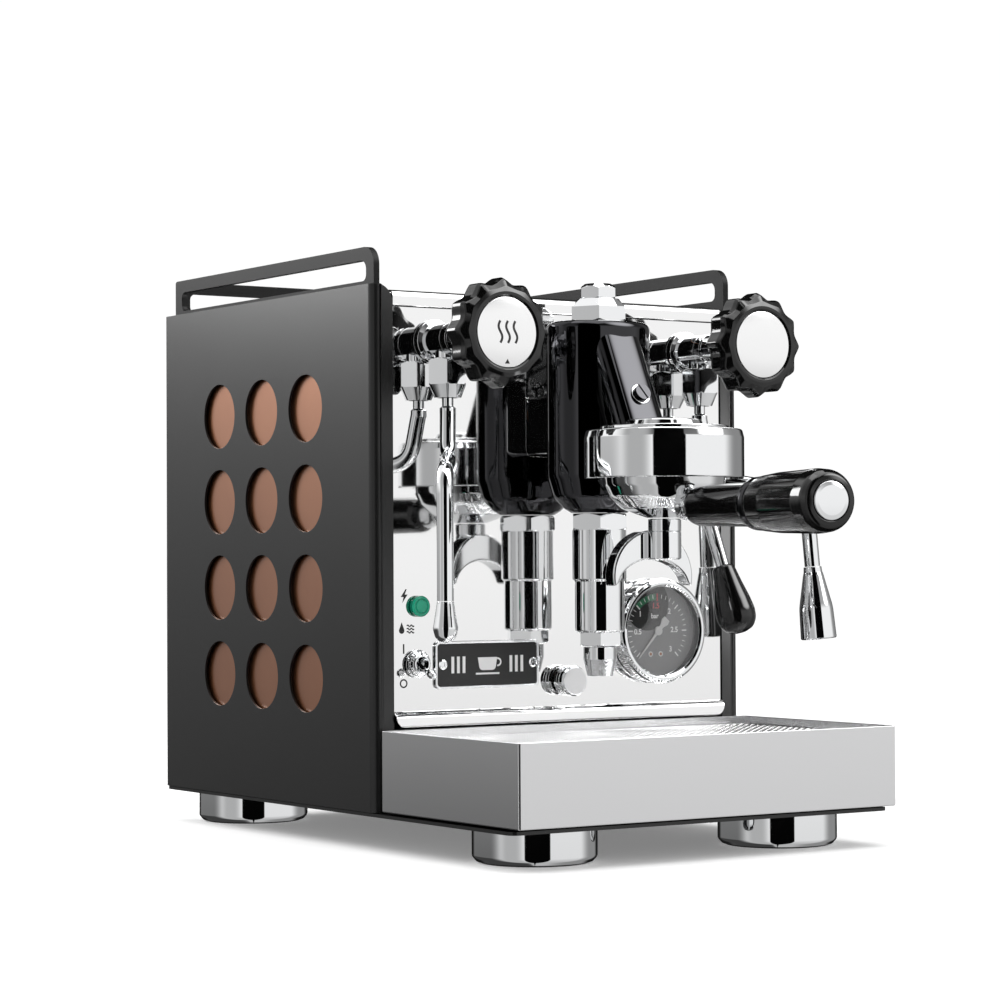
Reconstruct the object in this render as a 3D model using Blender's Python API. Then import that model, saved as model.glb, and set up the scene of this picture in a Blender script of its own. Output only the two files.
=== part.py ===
"""Heat-exchanger espresso machine with an inclined-neck brew group, two valves and a drip tray.

Lengths are millimetres in the named sizes and become metres in the meshes.  The machine frame has
X = 0 on the brew group, Y = 0 on the front face and -Y towards the user, Z = 0 on the worktop.
An empty carries that frame, so that the origin is the centre of the whole object's footprint.
"""
import math

import bmesh
import bpy
from mathutils import Matrix, Vector

MM = 0.001
GAP = 0.3                       # between pieces that touch

# ---- housing ---------------------------------------------------------------------------------
BODY_WIDTH = 274.0
BODY_DEPTH = 273.0
BODY_TOP = 337.0
BODY_BOTTOM = 20.8
SHEET = 1.5                     # steel sheet
FLANGE = 14.0                   # side panel's folded front and rear edges
FOLD_RADIUS = 5.5
HOLE_RADIUS = 20.8
HOLE_PITCH_Y = 56.2
HOLE_PITCH_Z = 55.4
HOLE_COLUMNS = 3
HOLE_ROWS = 4
HOLES_BEHIND_MIDDLE = 0.9
HOLES_CENTRE_Y = BODY_DEPTH / 2 + HOLES_BEHIND_MIDDLE
HOLES_CENTRE_Z = 183.3
COPPER_SETBACK = 1.6            # behind the side panel's inner face
FOOT_RADIUS = 36.0
FOOT_INSET = 48.3               # foot centre inside the side panel
FOOT_X = BODY_WIDTH / 2 - FOOT_INSET
FOOT_FRONT_Y = -97.0
FOOT_REAR_INSET = 35.4
FOOT_REAR_Y = BODY_DEPTH - FOOT_REAR_INSET
BASE_THICKNESS = 2.0

# ---- drip tray -------------------------------------------------------------------------------
TRAY_INSET = 1.0                # tray side inside the side panel
TRAY_WIDTH = BODY_WIDTH - 2 * TRAY_INSET
TRAY_FRONT = -152.0
TRAY_REAR = -7.0
TRAY_TOP = 72.1
TRAY_CLEARANCE = 1.4            # above the base
TRAY_LEDGE = 5.0                # folded step that the grate rests on
GRATE_DROP = 4.6                # grate top below the tray's rim
GRATE_THICKNESS = 1.2

# ---- top -------------------------------------------------------------------------------------
RAIL_HEIGHT = 23.0              # above the side panels
TOTAL_HEIGHT = BODY_TOP + RAIL_HEIGHT
RAIL_THICKNESS = 4.0
RAIL_INSET = 3.6                # rail's outer face inside the side panel's
RAIL_FRONT = 4.3
RAIL_REAR_INSET = 11.0
RAIL_REAR = BODY_DEPTH - RAIL_REAR_INSET
RAIL_BAR = 8.0                  # height of the top bar
RAIL_FOOT_BAR = 2.6             # part of the lower bar that shows over the side panel
RAIL_POST = 9.0
RAIL_CORNER = 10.0
DECK_THICKNESS = 1.6
DECK_BELOW_TOP = 4.7            # deck's top below the side panel's top
NOSE_HEIGHT = 9.6
NOSE_DEPTH = 16.0
CUP_TRAY_MARGIN = 10.0          # between the cup tray and the rail

# ---- front panel -----------------------------------------------------------------------------
PANEL_Y = 1.0                   # its front face
PANEL_BOTTOM = 72.6
LIP_HEIGHT = 9.0
LIP_FORWARD = 3.0

# ---- brew group ------------------------------------------------------------------------------
COLUMN_Y = -38.0                # axis of the cap nut and the lower chamber
COLUMN_HALF_X = 34.0
COLUMN_HALF_Y = 26.0
COLUMN_TOP = 316.0
COLUMN_BOTTOM = 200.6
BOWL_RADIUS = 36.5
BOWL_WALL = 3.5
BOWL_CLEARANCE = 1.5            # bowl in the bell
BOWL_TO_COLUMN = 3.5
EAR_REACH = 6.5                 # bayonet groove beyond the bowl
BELL_WALL = 4.0
EAR_CLEARANCE = 1.3             # ear tips in the bayonet groove
BELL_Y = COLUMN_Y - COLUMN_HALF_Y - BOWL_TO_COLUMN - BOWL_RADIUS
BELL_BOTTOM = 219.5
BELL_TOP = 246.5
BELL_BORE = BOWL_RADIUS + BOWL_CLEARANCE
BAYONET_BORE = BOWL_RADIUS + EAR_REACH
BELL_RADIUS = BAYONET_BORE + BELL_WALL
NECK_WIDTH = 29.0
NECK_DEPTH = 26.0
NECK_TOP = (-49.5, 309.5)
NECK_FOOT = (-77.0, 248.5)
FLANGE_Z = 262.0
STUB_RADIUS = 25.5
STUB_HALF_X = 26.3              # rectangular block between the wall and the column
STUB_FOOT = 235.6
STUB_TOP = 312.0
CAP_FLATS = 32.0
CHAMBER_STEPS = (189.7, 159.4, 128.5, 120.0, 101.8)
SHAFT_Z = 226.0                 # brew lever's cam shaft
SHAFT_RADIUS = 5.0

# ---- brew lever ------------------------------------------------------------------------------
LEVER_HUB_X = 46.0
LEVER_ROUTE = ((56.0, -38.0, 226.0), (68.0, -42.0, 213.0), (76.6, -49.5, 193.0), (80.0, -56.4, 168.0))
LEVER_ROD_RADIUS = 4.3
LEVER_KNOB_END = (86.0, -66.6, 126.8)

# ---- portafilter -----------------------------------------------------------------------------
HANDLE_ANGLE = 10.0             # handle to the left of straight ahead when locked
BOWL_TOP = 229.5
BOWL_FLOOR = 198.5
HANDLE_Z = 202.5
NECK_LENGTH = 6.9                # from the bowl to the front grip
GRIP_FRONT_LENGTH = 70.3
COLLAR_LENGTH = 8.0
GRIP_REAR_LENGTH = 73.8
HANDLE_START = BOWL_RADIUS + NECK_LENGTH
COLLAR_START = HANDLE_START + GRIP_FRONT_LENGTH
HANDLE_END = COLLAR_START + COLLAR_LENGTH + GRIP_REAR_LENGTH
GRIP_FRONT_RADIUS = 11.6
GRIP_REAR_RADIUS = 17.4
SPOUT_RADIUS = 9.9
SPOUT_BOTTOM = 172.0
SPOUT_ARM_BACK = 11.0           # arms stand behind the stem
SPOUT_ARM_LEFT = 5.0
SPOUT_SPAN = 26.0
SPOUT_THICKNESS = 12.0

# ---- steam and hot water ---------------------------------------------------------------------
VALVE_INSET = 42.7
VALVE_X = BODY_WIDTH / 2 - VALVE_INSET
VALVE_Z = 303.9
VALVE_RADIUS = 10.0
VALVE_LENGTH = 52.0
STEM_RADIUS = 4.0
KNOB_REAR = 54.5
KNOB_RADIUS = 32.2
KNOB_LOBES = 12
KNOB_RIM = 11.7
KNOB_DISC_RADIUS = KNOB_RADIUS - KNOB_RIM
JOINT_Y = -15.5
NUT_TOP = 292.6
NUT_BOTTOM = 269.0
BALL_RADIUS = 7.0
NUT_WALL = 4.0
NUT_FLATS = 2 * (BALL_RADIUS + NUT_WALL)
BALL_CLEARANCE = 0.8            # in the nut
NUT_LIP = 1.1                   # mouth of the nut inside the ball
BOSS_GAP = 1.0                  # above the ball
BALL_Z = 280.0
WAND_RADIUS = 4.9
WAND_NECK_RADIUS = 3.5
WAND_REACH = 67.0
STEAM_SWING = 34.0              # steam wand's arm, left of straight ahead
WATER_SWING = 57.7              # hot-water wand's arm, right of straight ahead
STEAM_ARM_Z = (231.5, 224.4)
WATER_ARM_Z = (223.5, 214.0)
STEAM_TIP_Z = (149.0, 125.0)
WATER_TIP_Z = (167.5, 121.5)
STEAM_LEAN = 0.5                # how far the leg leans out over its length
WATER_LEAN = 7.6
STEAM_BULB_RADIUS = 7.4
NOZZLE_RADIUS = 11.4

# ---- instruments -----------------------------------------------------------------------------
GAUGE_INSET = 68.5
GAUGE_X = BODY_WIDTH / 2 - GAUGE_INSET
GAUGE_Z = 127.5
GAUGE_RADIUS = 33.0
GAUGE_DEPTH = 12.0
LIGHT_INSET = 31.5
LIGHT_X = LIGHT_INSET - BODY_WIDTH / 2
LIGHT_Z = 145.0
LIGHT_RADIUS = 6.3
SWITCH_INSET = 30.2
SWITCH_X = SWITCH_INSET - BODY_WIDTH / 2
SWITCH_Z = 110.6
SWITCH_TILT = 19.0
PLATE_INSET = 80.0
PLATE_X = PLATE_INSET - BODY_WIDTH / 2
PLATE_Z = 109.4
PLATE_WIDTH = 75.0
PLATE_HEIGHT = 28.8
PLATE_THICKNESS = 1.6
DRAIN_X = 0.0
DRAIN_Z = 98.0
DRAIN_RADIUS = 9.4
DRAIN_LENGTH = 11.4

# ---- inside ----------------------------------------------------------------------------------
BOILER_RADIUS = 55.0
BOILER_LENGTH = 190.0
BOILER_WALL = 2.0
BOILER_Y = 100.0
BOILER_Z = 228.0
TANK_FRONT = 178.0
TANK_REAR_INSET = 11.0
TANK_REAR = BODY_DEPTH - TANK_REAR_INSET
TANK_HALF_WIDTH = 96.0
TANK_BOTTOM = 82.0
TANK_BELOW_TOP = 31.0
TANK_TOP = BODY_TOP - TANK_BELOW_TOP
TANK_WALL = 2.5
PUMP_PLACE = (72.0, 118.0, 62.0)
BOX_PLACE = (-72.0, 110.0)

HALF_WIDTH = BODY_WIDTH / 2
INNER_HALF = HALF_WIDTH - FLANGE - GAP      # between the side panels' folded edges
DECK_TOP = BODY_TOP - DECK_BELOW_TOP
BASE_TOP = BODY_BOTTOM + BASE_THICKNESS

FINISHES = {
    "black_steel": ((0.012, 0.012, 0.013), 0.42, 0.3),
    "mirror_steel": ((0.82, 0.82, 0.82), 0.08, 1.0),
    "brushed_steel": ((0.62, 0.62, 0.62), 0.3, 1.0),
    "chrome": ((0.85, 0.85, 0.86), 0.05, 1.0),
    "copper": ((0.62, 0.27, 0.13), 0.35, 1.0),
    "black_plastic": ((0.01, 0.01, 0.01), 0.2, 0.0),
    "green_lens": ((0.0, 0.3, 0.18), 0.25, 0.0),
    "grey_dial": ((0.2, 0.2, 0.2), 0.5, 0.0),
    "clear_glass": ((0.9, 0.9, 0.9), 0.02, 0.0),
    "tank_plastic": ((0.7, 0.72, 0.72), 0.3, 0.0),
}

UP = Matrix.Identity(4)
FORWARD = Matrix.Rotation(math.radians(90), 4, "X")         # a turned piece's axis towards -Y
SIDEWAYS = Matrix.Rotation(math.radians(90), 4, "Y")        # towards +X
SIDE_WALL = Matrix(((0, 0, 1, 0), (1, 0, 0, 0), (0, 1, 0, 0), (0, 0, 0, 1)))    # (y, z) outlines
FRONT_WALL = Matrix(((1, 0, 0, 0), (0, 0, 1, 0), (0, 1, 0, 0), (0, 0, 0, 1)))   # (x, z) outlines


def clear_scene():
    for old in list(bpy.data.objects):
        bpy.data.objects.remove(old, do_unlink=True)


def metres(point):
    return Vector(point) * MM


def finish_material(finish):
    """One Principled material for each finish, made when it is first used."""
    material = bpy.data.materials.get(finish)
    if material is None:
        colour, roughness, metallic = FINISHES[finish]
        material = bpy.data.materials.new(finish)
        material.use_nodes = True
        shader = material.node_tree.nodes["Principled BSDF"]
        shader.inputs["Base Color"].default_value = (*colour, 1)
        shader.inputs["Roughness"].default_value = roughness
        shader.inputs["Metallic"].default_value = metallic
    return material


def pivot(name, place, turn=0.0, parent=None):
    """An empty on a joint or on the frame, turned about Z by so many degrees."""
    empty = bpy.data.objects.new(name, None)
    bpy.context.collection.objects.link(empty)
    empty.location = metres(place)
    empty.rotation_euler = (0, 0, math.radians(turn))
    empty.parent = parent
    return empty


def add(name, mesh, finish, parent, place=(0, 0, 0), lay=UP):
    """Make an object of a bmesh, laid along an axis, with its faces pointing out."""
    bmesh.ops.transform(mesh, matrix=lay, verts=mesh.verts)
    bmesh.ops.recalc_face_normals(mesh, faces=mesh.faces)
    data = bpy.data.meshes.new(name)
    mesh.to_mesh(data)
    mesh.free()
    data.shade_smooth()
    data.set_sharp_from_angle(angle=math.radians(35))
    data.materials.append(finish_material(finish))
    piece = bpy.data.objects.new(name, data)
    bpy.context.collection.objects.link(piece)
    piece.location = metres(place)
    piece.parent = parent
    return piece


def join(piece, other, operation="UNION"):
    """Unite a piece with another, or cut it, and leave the other as a hidden guide."""
    other.hide_render = True
    other.display_type = "WIRE"
    step = piece.modifiers.new(operation.lower(), "BOOLEAN")
    step.operation = operation
    step.object = other
    return piece


def turned(profile, sides=28, start=0.0, ring=False, lobes=0):
    """Revolve (radius, height) or (radius, height, lobe depth) points about Z."""
    mesh = bmesh.new()
    rows = []
    for radius, height, *depth in profile:
        if radius < 1e-6:
            rows.append([mesh.verts.new((0, 0, height * MM))])
            continue
        row = []
        for i in range(sides):
            angle = start + math.tau * i / sides
            dip = depth[0] * (1 - math.cos(lobes * angle)) / 2 if depth else 0.0
            reach = (radius - dip) * MM
            row.append(mesh.verts.new((reach * math.cos(angle), reach * math.sin(angle), height * MM)))
        rows.append(row)
    pairs = list(zip(rows, rows[1:]))
    if ring:
        pairs.append((rows[-1], rows[0]))
    for low, high in pairs:
        for i in range(sides):
            j = (i + 1) % sides
            corners = (low[i % len(low)], low[j % len(low)], high[j % len(high)], high[i % len(high)])
            mesh.faces.new(list(dict.fromkeys(corners)))
    return mesh


def plate(outline, low, high, holes=()):
    """Extrude an outline with holes from one height to another."""
    mesh = bmesh.new()
    edges = []
    for loop in (outline, *holes):
        verts = [mesh.verts.new((x * MM, y * MM, low * MM)) for x, y in loop]
        for i, vert in enumerate(verts):
            edges.append(mesh.edges.new((vert, verts[(i + 1) % len(verts)])))
    bmesh.ops.triangle_fill(mesh, use_beauty=True, use_dissolve=False, edges=edges)
    grown = bmesh.ops.extrude_face_region(mesh, geom=mesh.faces[:])
    moved = [item for item in grown["geom"] if isinstance(item, bmesh.types.BMVert)]
    bmesh.ops.translate(mesh, verts=moved, vec=(0, 0, (high - low) * MM))
    return mesh


def stepped_box(x_range, y_range, steps):
    """A rectangular vessel: each step is (inset, height), from under the floor to inside it."""
    mesh = bmesh.new()
    rings = []
    for inset, height in steps:
        x0, x1 = x_range[0] + inset, x_range[1] - inset
        y0, y1 = y_range[0] + inset, y_range[1] - inset
        corners = ((x0, y0), (x1, y0), (x1, y1), (x0, y1))
        rings.append([mesh.verts.new((x * MM, y * MM, height * MM)) for x, y in corners])
    mesh.faces.new(rings[0])
    mesh.faces.new(rings[-1])
    for low, high in zip(rings, rings[1:]):
        for i in range(4):
            j = (i + 1) % 4
            mesh.faces.new((low[i], low[j], high[j], high[i]))
    return mesh


def swept(path, radius, sides=12):
    """A round bar along a path of points, with flat ends."""
    mesh = bmesh.new()
    points = [metres(point) for point in path]
    side = None
    rows = []
    for i, point in enumerate(points):
        ahead = points[min(i + 1, len(points) - 1)] - points[max(i - 1, 0)]
        ahead.normalize()
        if side is None:
            side = ahead.orthogonal()
        side = (side - ahead * side.dot(ahead)).normalized()
        other = ahead.cross(side)
        turns = [math.tau * k / sides for k in range(sides)]
        rows.append([mesh.verts.new(point + (side * math.cos(a) + other * math.sin(a)) * radius * MM)
                     for a in turns])
    mesh.faces.new(rows[0])
    mesh.faces.new(rows[-1])
    for low, high in zip(rows, rows[1:]):
        for k in range(sides):
            n = (k + 1) % sides
            mesh.faces.new((low[k], low[n], high[n], high[k]))
    return mesh


def bent(points, radius, steps=4):
    """Straight runs between points, with an arc of one radius at each bend."""
    points = [Vector(point) for point in points]
    route = [points[0]]
    for before, corner, after in zip(points, points[1:], points[2:]):
        way_in = (before - corner).normalized()
        way_out = (after - corner).normalized()
        half = way_in.angle(way_out) / 2
        reach = radius / math.tan(half)
        start, end = corner + way_in * reach, corner + way_out * reach
        centre = corner + (way_in + way_out).normalized() * (radius / math.sin(half))
        from_start, from_end = start - centre, end - centre
        sweep = from_start.angle(from_end)
        for i in range(steps + 1):
            t = i / steps
            arm = from_start * math.sin((1 - t) * sweep) + from_end * math.sin(t * sweep)
            route.append(centre + arm / math.sin(sweep))
    route.append(points[-1])
    return route


def circle(x, y, radius, sides=24):
    turns = [math.tau * i / sides for i in range(sides)]
    return [(x + radius * math.cos(a), y + radius * math.sin(a)) for a in turns]


def rounded(x_range, y_range, radius, steps=4):
    """A rectangle with round corners; radius is one number or four, from the lower left round."""
    radii = radius if isinstance(radius, tuple) else (radius,) * 4
    (x0, x1), (y0, y1) = x_range, y_range
    corners = ((x0, y0, 180), (x1, y0, 270), (x1, y1, 0), (x0, y1, 90))
    outline = []
    for (x, y, first), r in zip(corners, radii):
        if r <= 0:
            outline.append((x, y))
            continue
        cx = x + r if x == x0 else x - r
        cy = y + r if y == y0 else y - r
        for i in range(steps + 1):
            a = math.radians(first + 90 * i / steps)
            outline.append((cx + r * math.cos(a), cy + r * math.sin(a)))
    return outline


# ---- housing ---------------------------------------------------------------------------------
def side_panel(name, side, frame):
    """Folded steel side: a channel in plan, with a grid of round holes."""
    outer = [(FLANGE, 0.0)]
    inner = [(FLANGE, SHEET)]
    bends = ((FOLD_RADIUS, -90, -180), (BODY_DEPTH - FOLD_RADIUS, 180, 90))
    for y, first, last in bends:
        for i in range(5):
            a = math.radians(first + (last - first) * i / 4)
            for line, reach in ((outer, FOLD_RADIUS), (inner, FOLD_RADIUS - SHEET)):
                line.append((FOLD_RADIUS + reach * math.cos(a), y + reach * math.sin(a)))
    outer.append((FLANGE, BODY_DEPTH))
    inner.append((FLANGE, BODY_DEPTH - SHEET))
    outline = [(side * (HALF_WIDTH - x), y) for x, y in outer + inner[::-1]]
    panel = add(name, plate(outline, BASE_TOP + GAP, BODY_TOP), "black_steel", frame)
    holes = bmesh.new()
    for row in range(HOLE_ROWS):
        for column in range(HOLE_COLUMNS):
            y = HOLES_CENTRE_Y + (column - (HOLE_COLUMNS - 1) / 2) * HOLE_PITCH_Y
            z = HOLES_CENTRE_Z + (row - (HOLE_ROWS - 1) / 2) * HOLE_PITCH_Z
            at = Matrix.Translation(metres((side * HALF_WIDTH, y, z)))
            turn = at @ SIDEWAYS
            bmesh.ops.create_cone(holes, cap_ends=True, segments=18, radius1=HOLE_RADIUS * MM,
                                  radius2=HOLE_RADIUS * MM, depth=4 * SHEET * MM, matrix=turn)
    return join(panel, add(name + "_holes", holes, "black_steel", frame), "DIFFERENCE")


def copper_insert(name, side, frame):
    """Copper sheet behind the holes of a side panel."""
    reach_y = (HOLE_COLUMNS - 1) / 2 * HOLE_PITCH_Y + HOLE_RADIUS + 8
    reach_z = (HOLE_ROWS - 1) / 2 * HOLE_PITCH_Z + HOLE_RADIUS + 8
    face = HALF_WIDTH - SHEET - COPPER_SETBACK
    low, high = sorted((side * face, side * (face - 1.0)))
    outline = rounded((HOLES_CENTRE_Y - reach_y, HOLES_CENTRE_Y + reach_y),
                      (HOLES_CENTRE_Z - reach_z, HOLES_CENTRE_Z + reach_z), 6)
    add(name, plate(outline, low, high), "copper", frame, lay=SIDE_WALL)


def base_plate(frame):
    """Flat steel floor that carries the housing and runs forward under the drip tray."""
    half = HALF_WIDTH - 0.6
    outline = rounded((-half, half), (TRAY_FRONT + 7, BODY_DEPTH - 0.6), 6)
    add("base_plate", plate(outline, BODY_BOTTOM, BASE_TOP), "black_steel", frame)


def feet(frame):
    """Four turned metal feet."""
    top = BODY_BOTTOM - GAP
    r = FOOT_RADIUS
    profile = [(0, 0), (r - 3, 0), (r - 0.8, 1), (r, 3), (r, top - 1.5), (r - 1.5, top), (0, top)]
    for depth, y in (("front", FOOT_FRONT_Y), ("rear", FOOT_REAR_Y)):
        for side, x in (("left", -FOOT_X), ("right", FOOT_X)):
            add(f"foot_{depth}_{side}", turned(profile), "chrome", frame, (x, y, 0))


def front_panel(frame):
    """Mirror-polished front sheet with a lip folded forward at the bottom."""
    top = DECK_TOP - NOSE_HEIGHT + 1.2
    half = INNER_HALF
    holes = [circle(0, FLANGE_Z, STUB_RADIUS + 0.5)]
    holes += [circle(side * VALVE_X, VALVE_Z, VALVE_RADIUS - 0.7, 16) for side in (-1, 1)]
    holes.append(circle(GAUGE_X, GAUGE_Z, GAUGE_RADIUS - 6, 24))
    holes += [circle(x, z, 5.3, 12) for x, z in ((LIGHT_X, LIGHT_Z), (SWITCH_X, SWITCH_Z))]
    holes.append(circle(DRAIN_X, DRAIN_Z, 3.5, 10))
    sheet = plate(rounded((-half, half), (PANEL_BOTTOM + LIP_HEIGHT - 1, top), 0),
                  PANEL_Y, PANEL_Y + SHEET, holes)
    panel = add("front_panel", sheet, "mirror_steel", frame, lay=FRONT_WALL)
    bend = PANEL_BOTTOM + LIP_HEIGHT
    toe = PANEL_Y - LIP_FORWARD
    section = [(PANEL_Y + 0.2, bend), (PANEL_Y + SHEET - 0.2, bend), (toe + SHEET, PANEL_BOTTOM),
               (toe, PANEL_BOTTOM)]
    lip = add("front_panel_lip", plate(section, -half + 2, half - 2), "mirror_steel", frame, lay=SIDE_WALL)
    join(panel, lip)


def rear_panel(frame):
    """Rear sheet, with a cut-out for the power inlet."""
    half = INNER_HALF
    outline = rounded((-half, half), (BASE_TOP + GAP, DECK_TOP - DECK_THICKNESS - GAP), 3)
    inlet = rounded((-94, -66), (50, 71), 0)
    back = BODY_DEPTH - SHEET - 0.5
    add("rear_panel", plate(outline, back - SHEET, back, [inlet]), "black_steel", frame, lay=FRONT_WALL)


def power_inlet(frame):
    """Three-pin mains inlet: a flanged socket with its recess open to the rear."""
    back = BODY_DEPTH - SHEET - 0.5
    body = stepped_box((-93.5, -66.5), (50.5, 70.5), [(0, back - 18), (0, back + 0.3)])
    socket = add("power_inlet", body, "black_plastic", frame, lay=FRONT_WALL)
    collar = stepped_box((-98, -62), (47, 74), [(0, back + 0.2), (0, back + 1.9)])
    join(socket, add("power_inlet_flange", collar, "black_plastic", frame, lay=FRONT_WALL))
    recess = stepped_box((-91, -69), (53, 68), [(0, back - 15), (0, back + 4)])
    join(socket, add("power_inlet_recess", recess, "black_plastic", frame, lay=FRONT_WALL), "DIFFERENCE")
    for x, z in ((-85, 58.5), (-75, 58.5), (-80, 63)):
        pin = stepped_box((x - 1.2, x + 1.2), (z - 2, z + 2), [(0, back - 16), (0, back - 4)])
        join(socket, add("power_inlet_pin", pin, "black_plastic", frame, lay=FRONT_WALL))


# ---- top -------------------------------------------------------------------------------------
def top_frame(frame):
    """Polished deck round the cup tray's opening, with its rounded front edge."""
    half = HALF_WIDTH - SHEET - GAP
    front = SHEET + GAP
    rear = BODY_DEPTH - SHEET - GAP
    opening_half = half - RAIL_INSET - RAIL_THICKNESS - CUP_TRAY_MARGIN + 2.3
    opening = rounded((-opening_half + 6, opening_half - 6), (NOSE_DEPTH + 5, RAIL_REAR - 12), 8)
    deck = plate(rounded((-half, half), (front, rear), FOLD_RADIUS), DECK_TOP - DECK_THICKNESS, DECK_TOP, [opening])
    piece = add("top_frame", deck, "mirror_steel", frame)
    top = DECK_TOP + 1.7
    bottom = top - NOSE_HEIGHT
    r = 5.5
    section = [(0.2, bottom)]
    section += [(0.2 + r - r * math.cos(a), top - r + r * math.sin(a))
                for a in [math.radians(22.5 * i) for i in range(5)]]
    section += [(NOSE_DEPTH, top), (NOSE_DEPTH, top - 3.6), (3.2, top - 3.6), (1.7, top - 5), (1.7, bottom)]
    nose = add("top_frame_nose", plate(section, -INNER_HALF, INNER_HALF), "mirror_steel", frame, lay=SIDE_WALL)
    join(piece, nose)


def cup_tray(frame):
    """Loose cup-warming tray with drain slots, which lifts off the deck."""
    half = HALF_WIDTH - RAIL_INSET - RAIL_THICKNESS - CUP_TRAY_MARGIN
    y_range = (NOSE_DEPTH + 1.3, RAIL_REAR - RAIL_THICKNESS - GAP - 1)
    low = DECK_TOP + GAP
    slots = []
    for column in range(3):
        for row in range(6):
            x = (column - 1) * half * 0.62
            y = y_range[0] + 24 + row * (y_range[1] - y_range[0] - 48) / 5
            slots.append(rounded((x - 24, x + 24), (y - 2.5, y + 2.5), 0))
    pivot_at = pivot("cup_tray_frame", (0, 0, low), parent=frame)
    add("cup_tray", plate(rounded((-half, half), y_range, 8), 0, 1.3, slots), "mirror_steel", pivot_at)


def cup_rail(frame):
    """Slotted rail of 4 mm plate round three sides of the top."""
    outer = HALF_WIDTH - RAIL_INSET
    foot = DECK_TOP + GAP
    slot_low = BODY_TOP + RAIL_FOOT_BAR
    slot_high = TOTAL_HEIGHT - RAIL_BAR
    side_outline = rounded((RAIL_FRONT, RAIL_REAR), (foot, TOTAL_HEIGHT), (0, 0, 3, RAIL_CORNER))
    side_slot = rounded((RAIL_FRONT + RAIL_POST, RAIL_REAR - RAIL_POST), (slot_low, slot_high), 4)
    rail = add("cup_rail", plate(side_outline, -outer, RAIL_THICKNESS - outer, [side_slot]),
               "black_steel", frame, lay=SIDE_WALL)
    other = add("cup_rail_right", plate(side_outline, outer - RAIL_THICKNESS, outer, [side_slot]),
                "black_steel", frame, lay=SIDE_WALL)
    back_outline = rounded((-outer + 0.2, outer - 0.2), (foot + 0.2, TOTAL_HEIGHT - 0.2), 0)
    back_slot = rounded((-outer + RAIL_POST, outer - RAIL_POST), (slot_low, slot_high), 4)
    back = add("cup_rail_rear", plate(back_outline, RAIL_REAR - RAIL_THICKNESS - 0.2, RAIL_REAR - 0.2,
                                      [back_slot]), "black_steel", frame, lay=FRONT_WALL)
    join(join(rail, back), other)


# ---- drip tray -------------------------------------------------------------------------------
def drip_tray(frame):
    """Deep steel tray that pulls forward, and the slotted grate that lifts out of it."""
    bottom = BASE_TOP + TRAY_CLEARANCE
    half = TRAY_WIDTH / 2
    slide = pivot("drip_tray_frame", (0, 0, 0), parent=frame)
    ledge = TRAY_TOP - GRATE_DROP - GRATE_THICKNESS - GAP
    steps = [(0, bottom), (0, TRAY_TOP), (SHEET, TRAY_TOP), (SHEET, ledge), (TRAY_LEDGE, ledge),
             (TRAY_LEDGE, bottom + SHEET)]
    add("drip_tray", stepped_box((-half, half), (TRAY_FRONT, TRAY_REAR), steps), "brushed_steel", slide)
    inset = SHEET + 0.5
    x_range = (-half + inset, half - inset)
    y_range = (TRAY_FRONT + inset, TRAY_REAR - inset)
    slots = []
    columns, rows = 6, 7
    for column in range(columns):
        for row in range(rows):
            x = x_range[0] + (column + 0.5) * (x_range[1] - x_range[0]) / columns
            y = y_range[0] + 16 + row * (y_range[1] - y_range[0] - 32) / (rows - 1)
            slots.append(rounded((x - 16, x + 16), (y - 3, y + 3), 0))
    grate = plate(rounded(x_range, y_range, 3, 2), ledge + GAP, ledge + GAP + GRATE_THICKNESS, slots)
    add("drip_grate", grate, "brushed_steel", slide)


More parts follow.
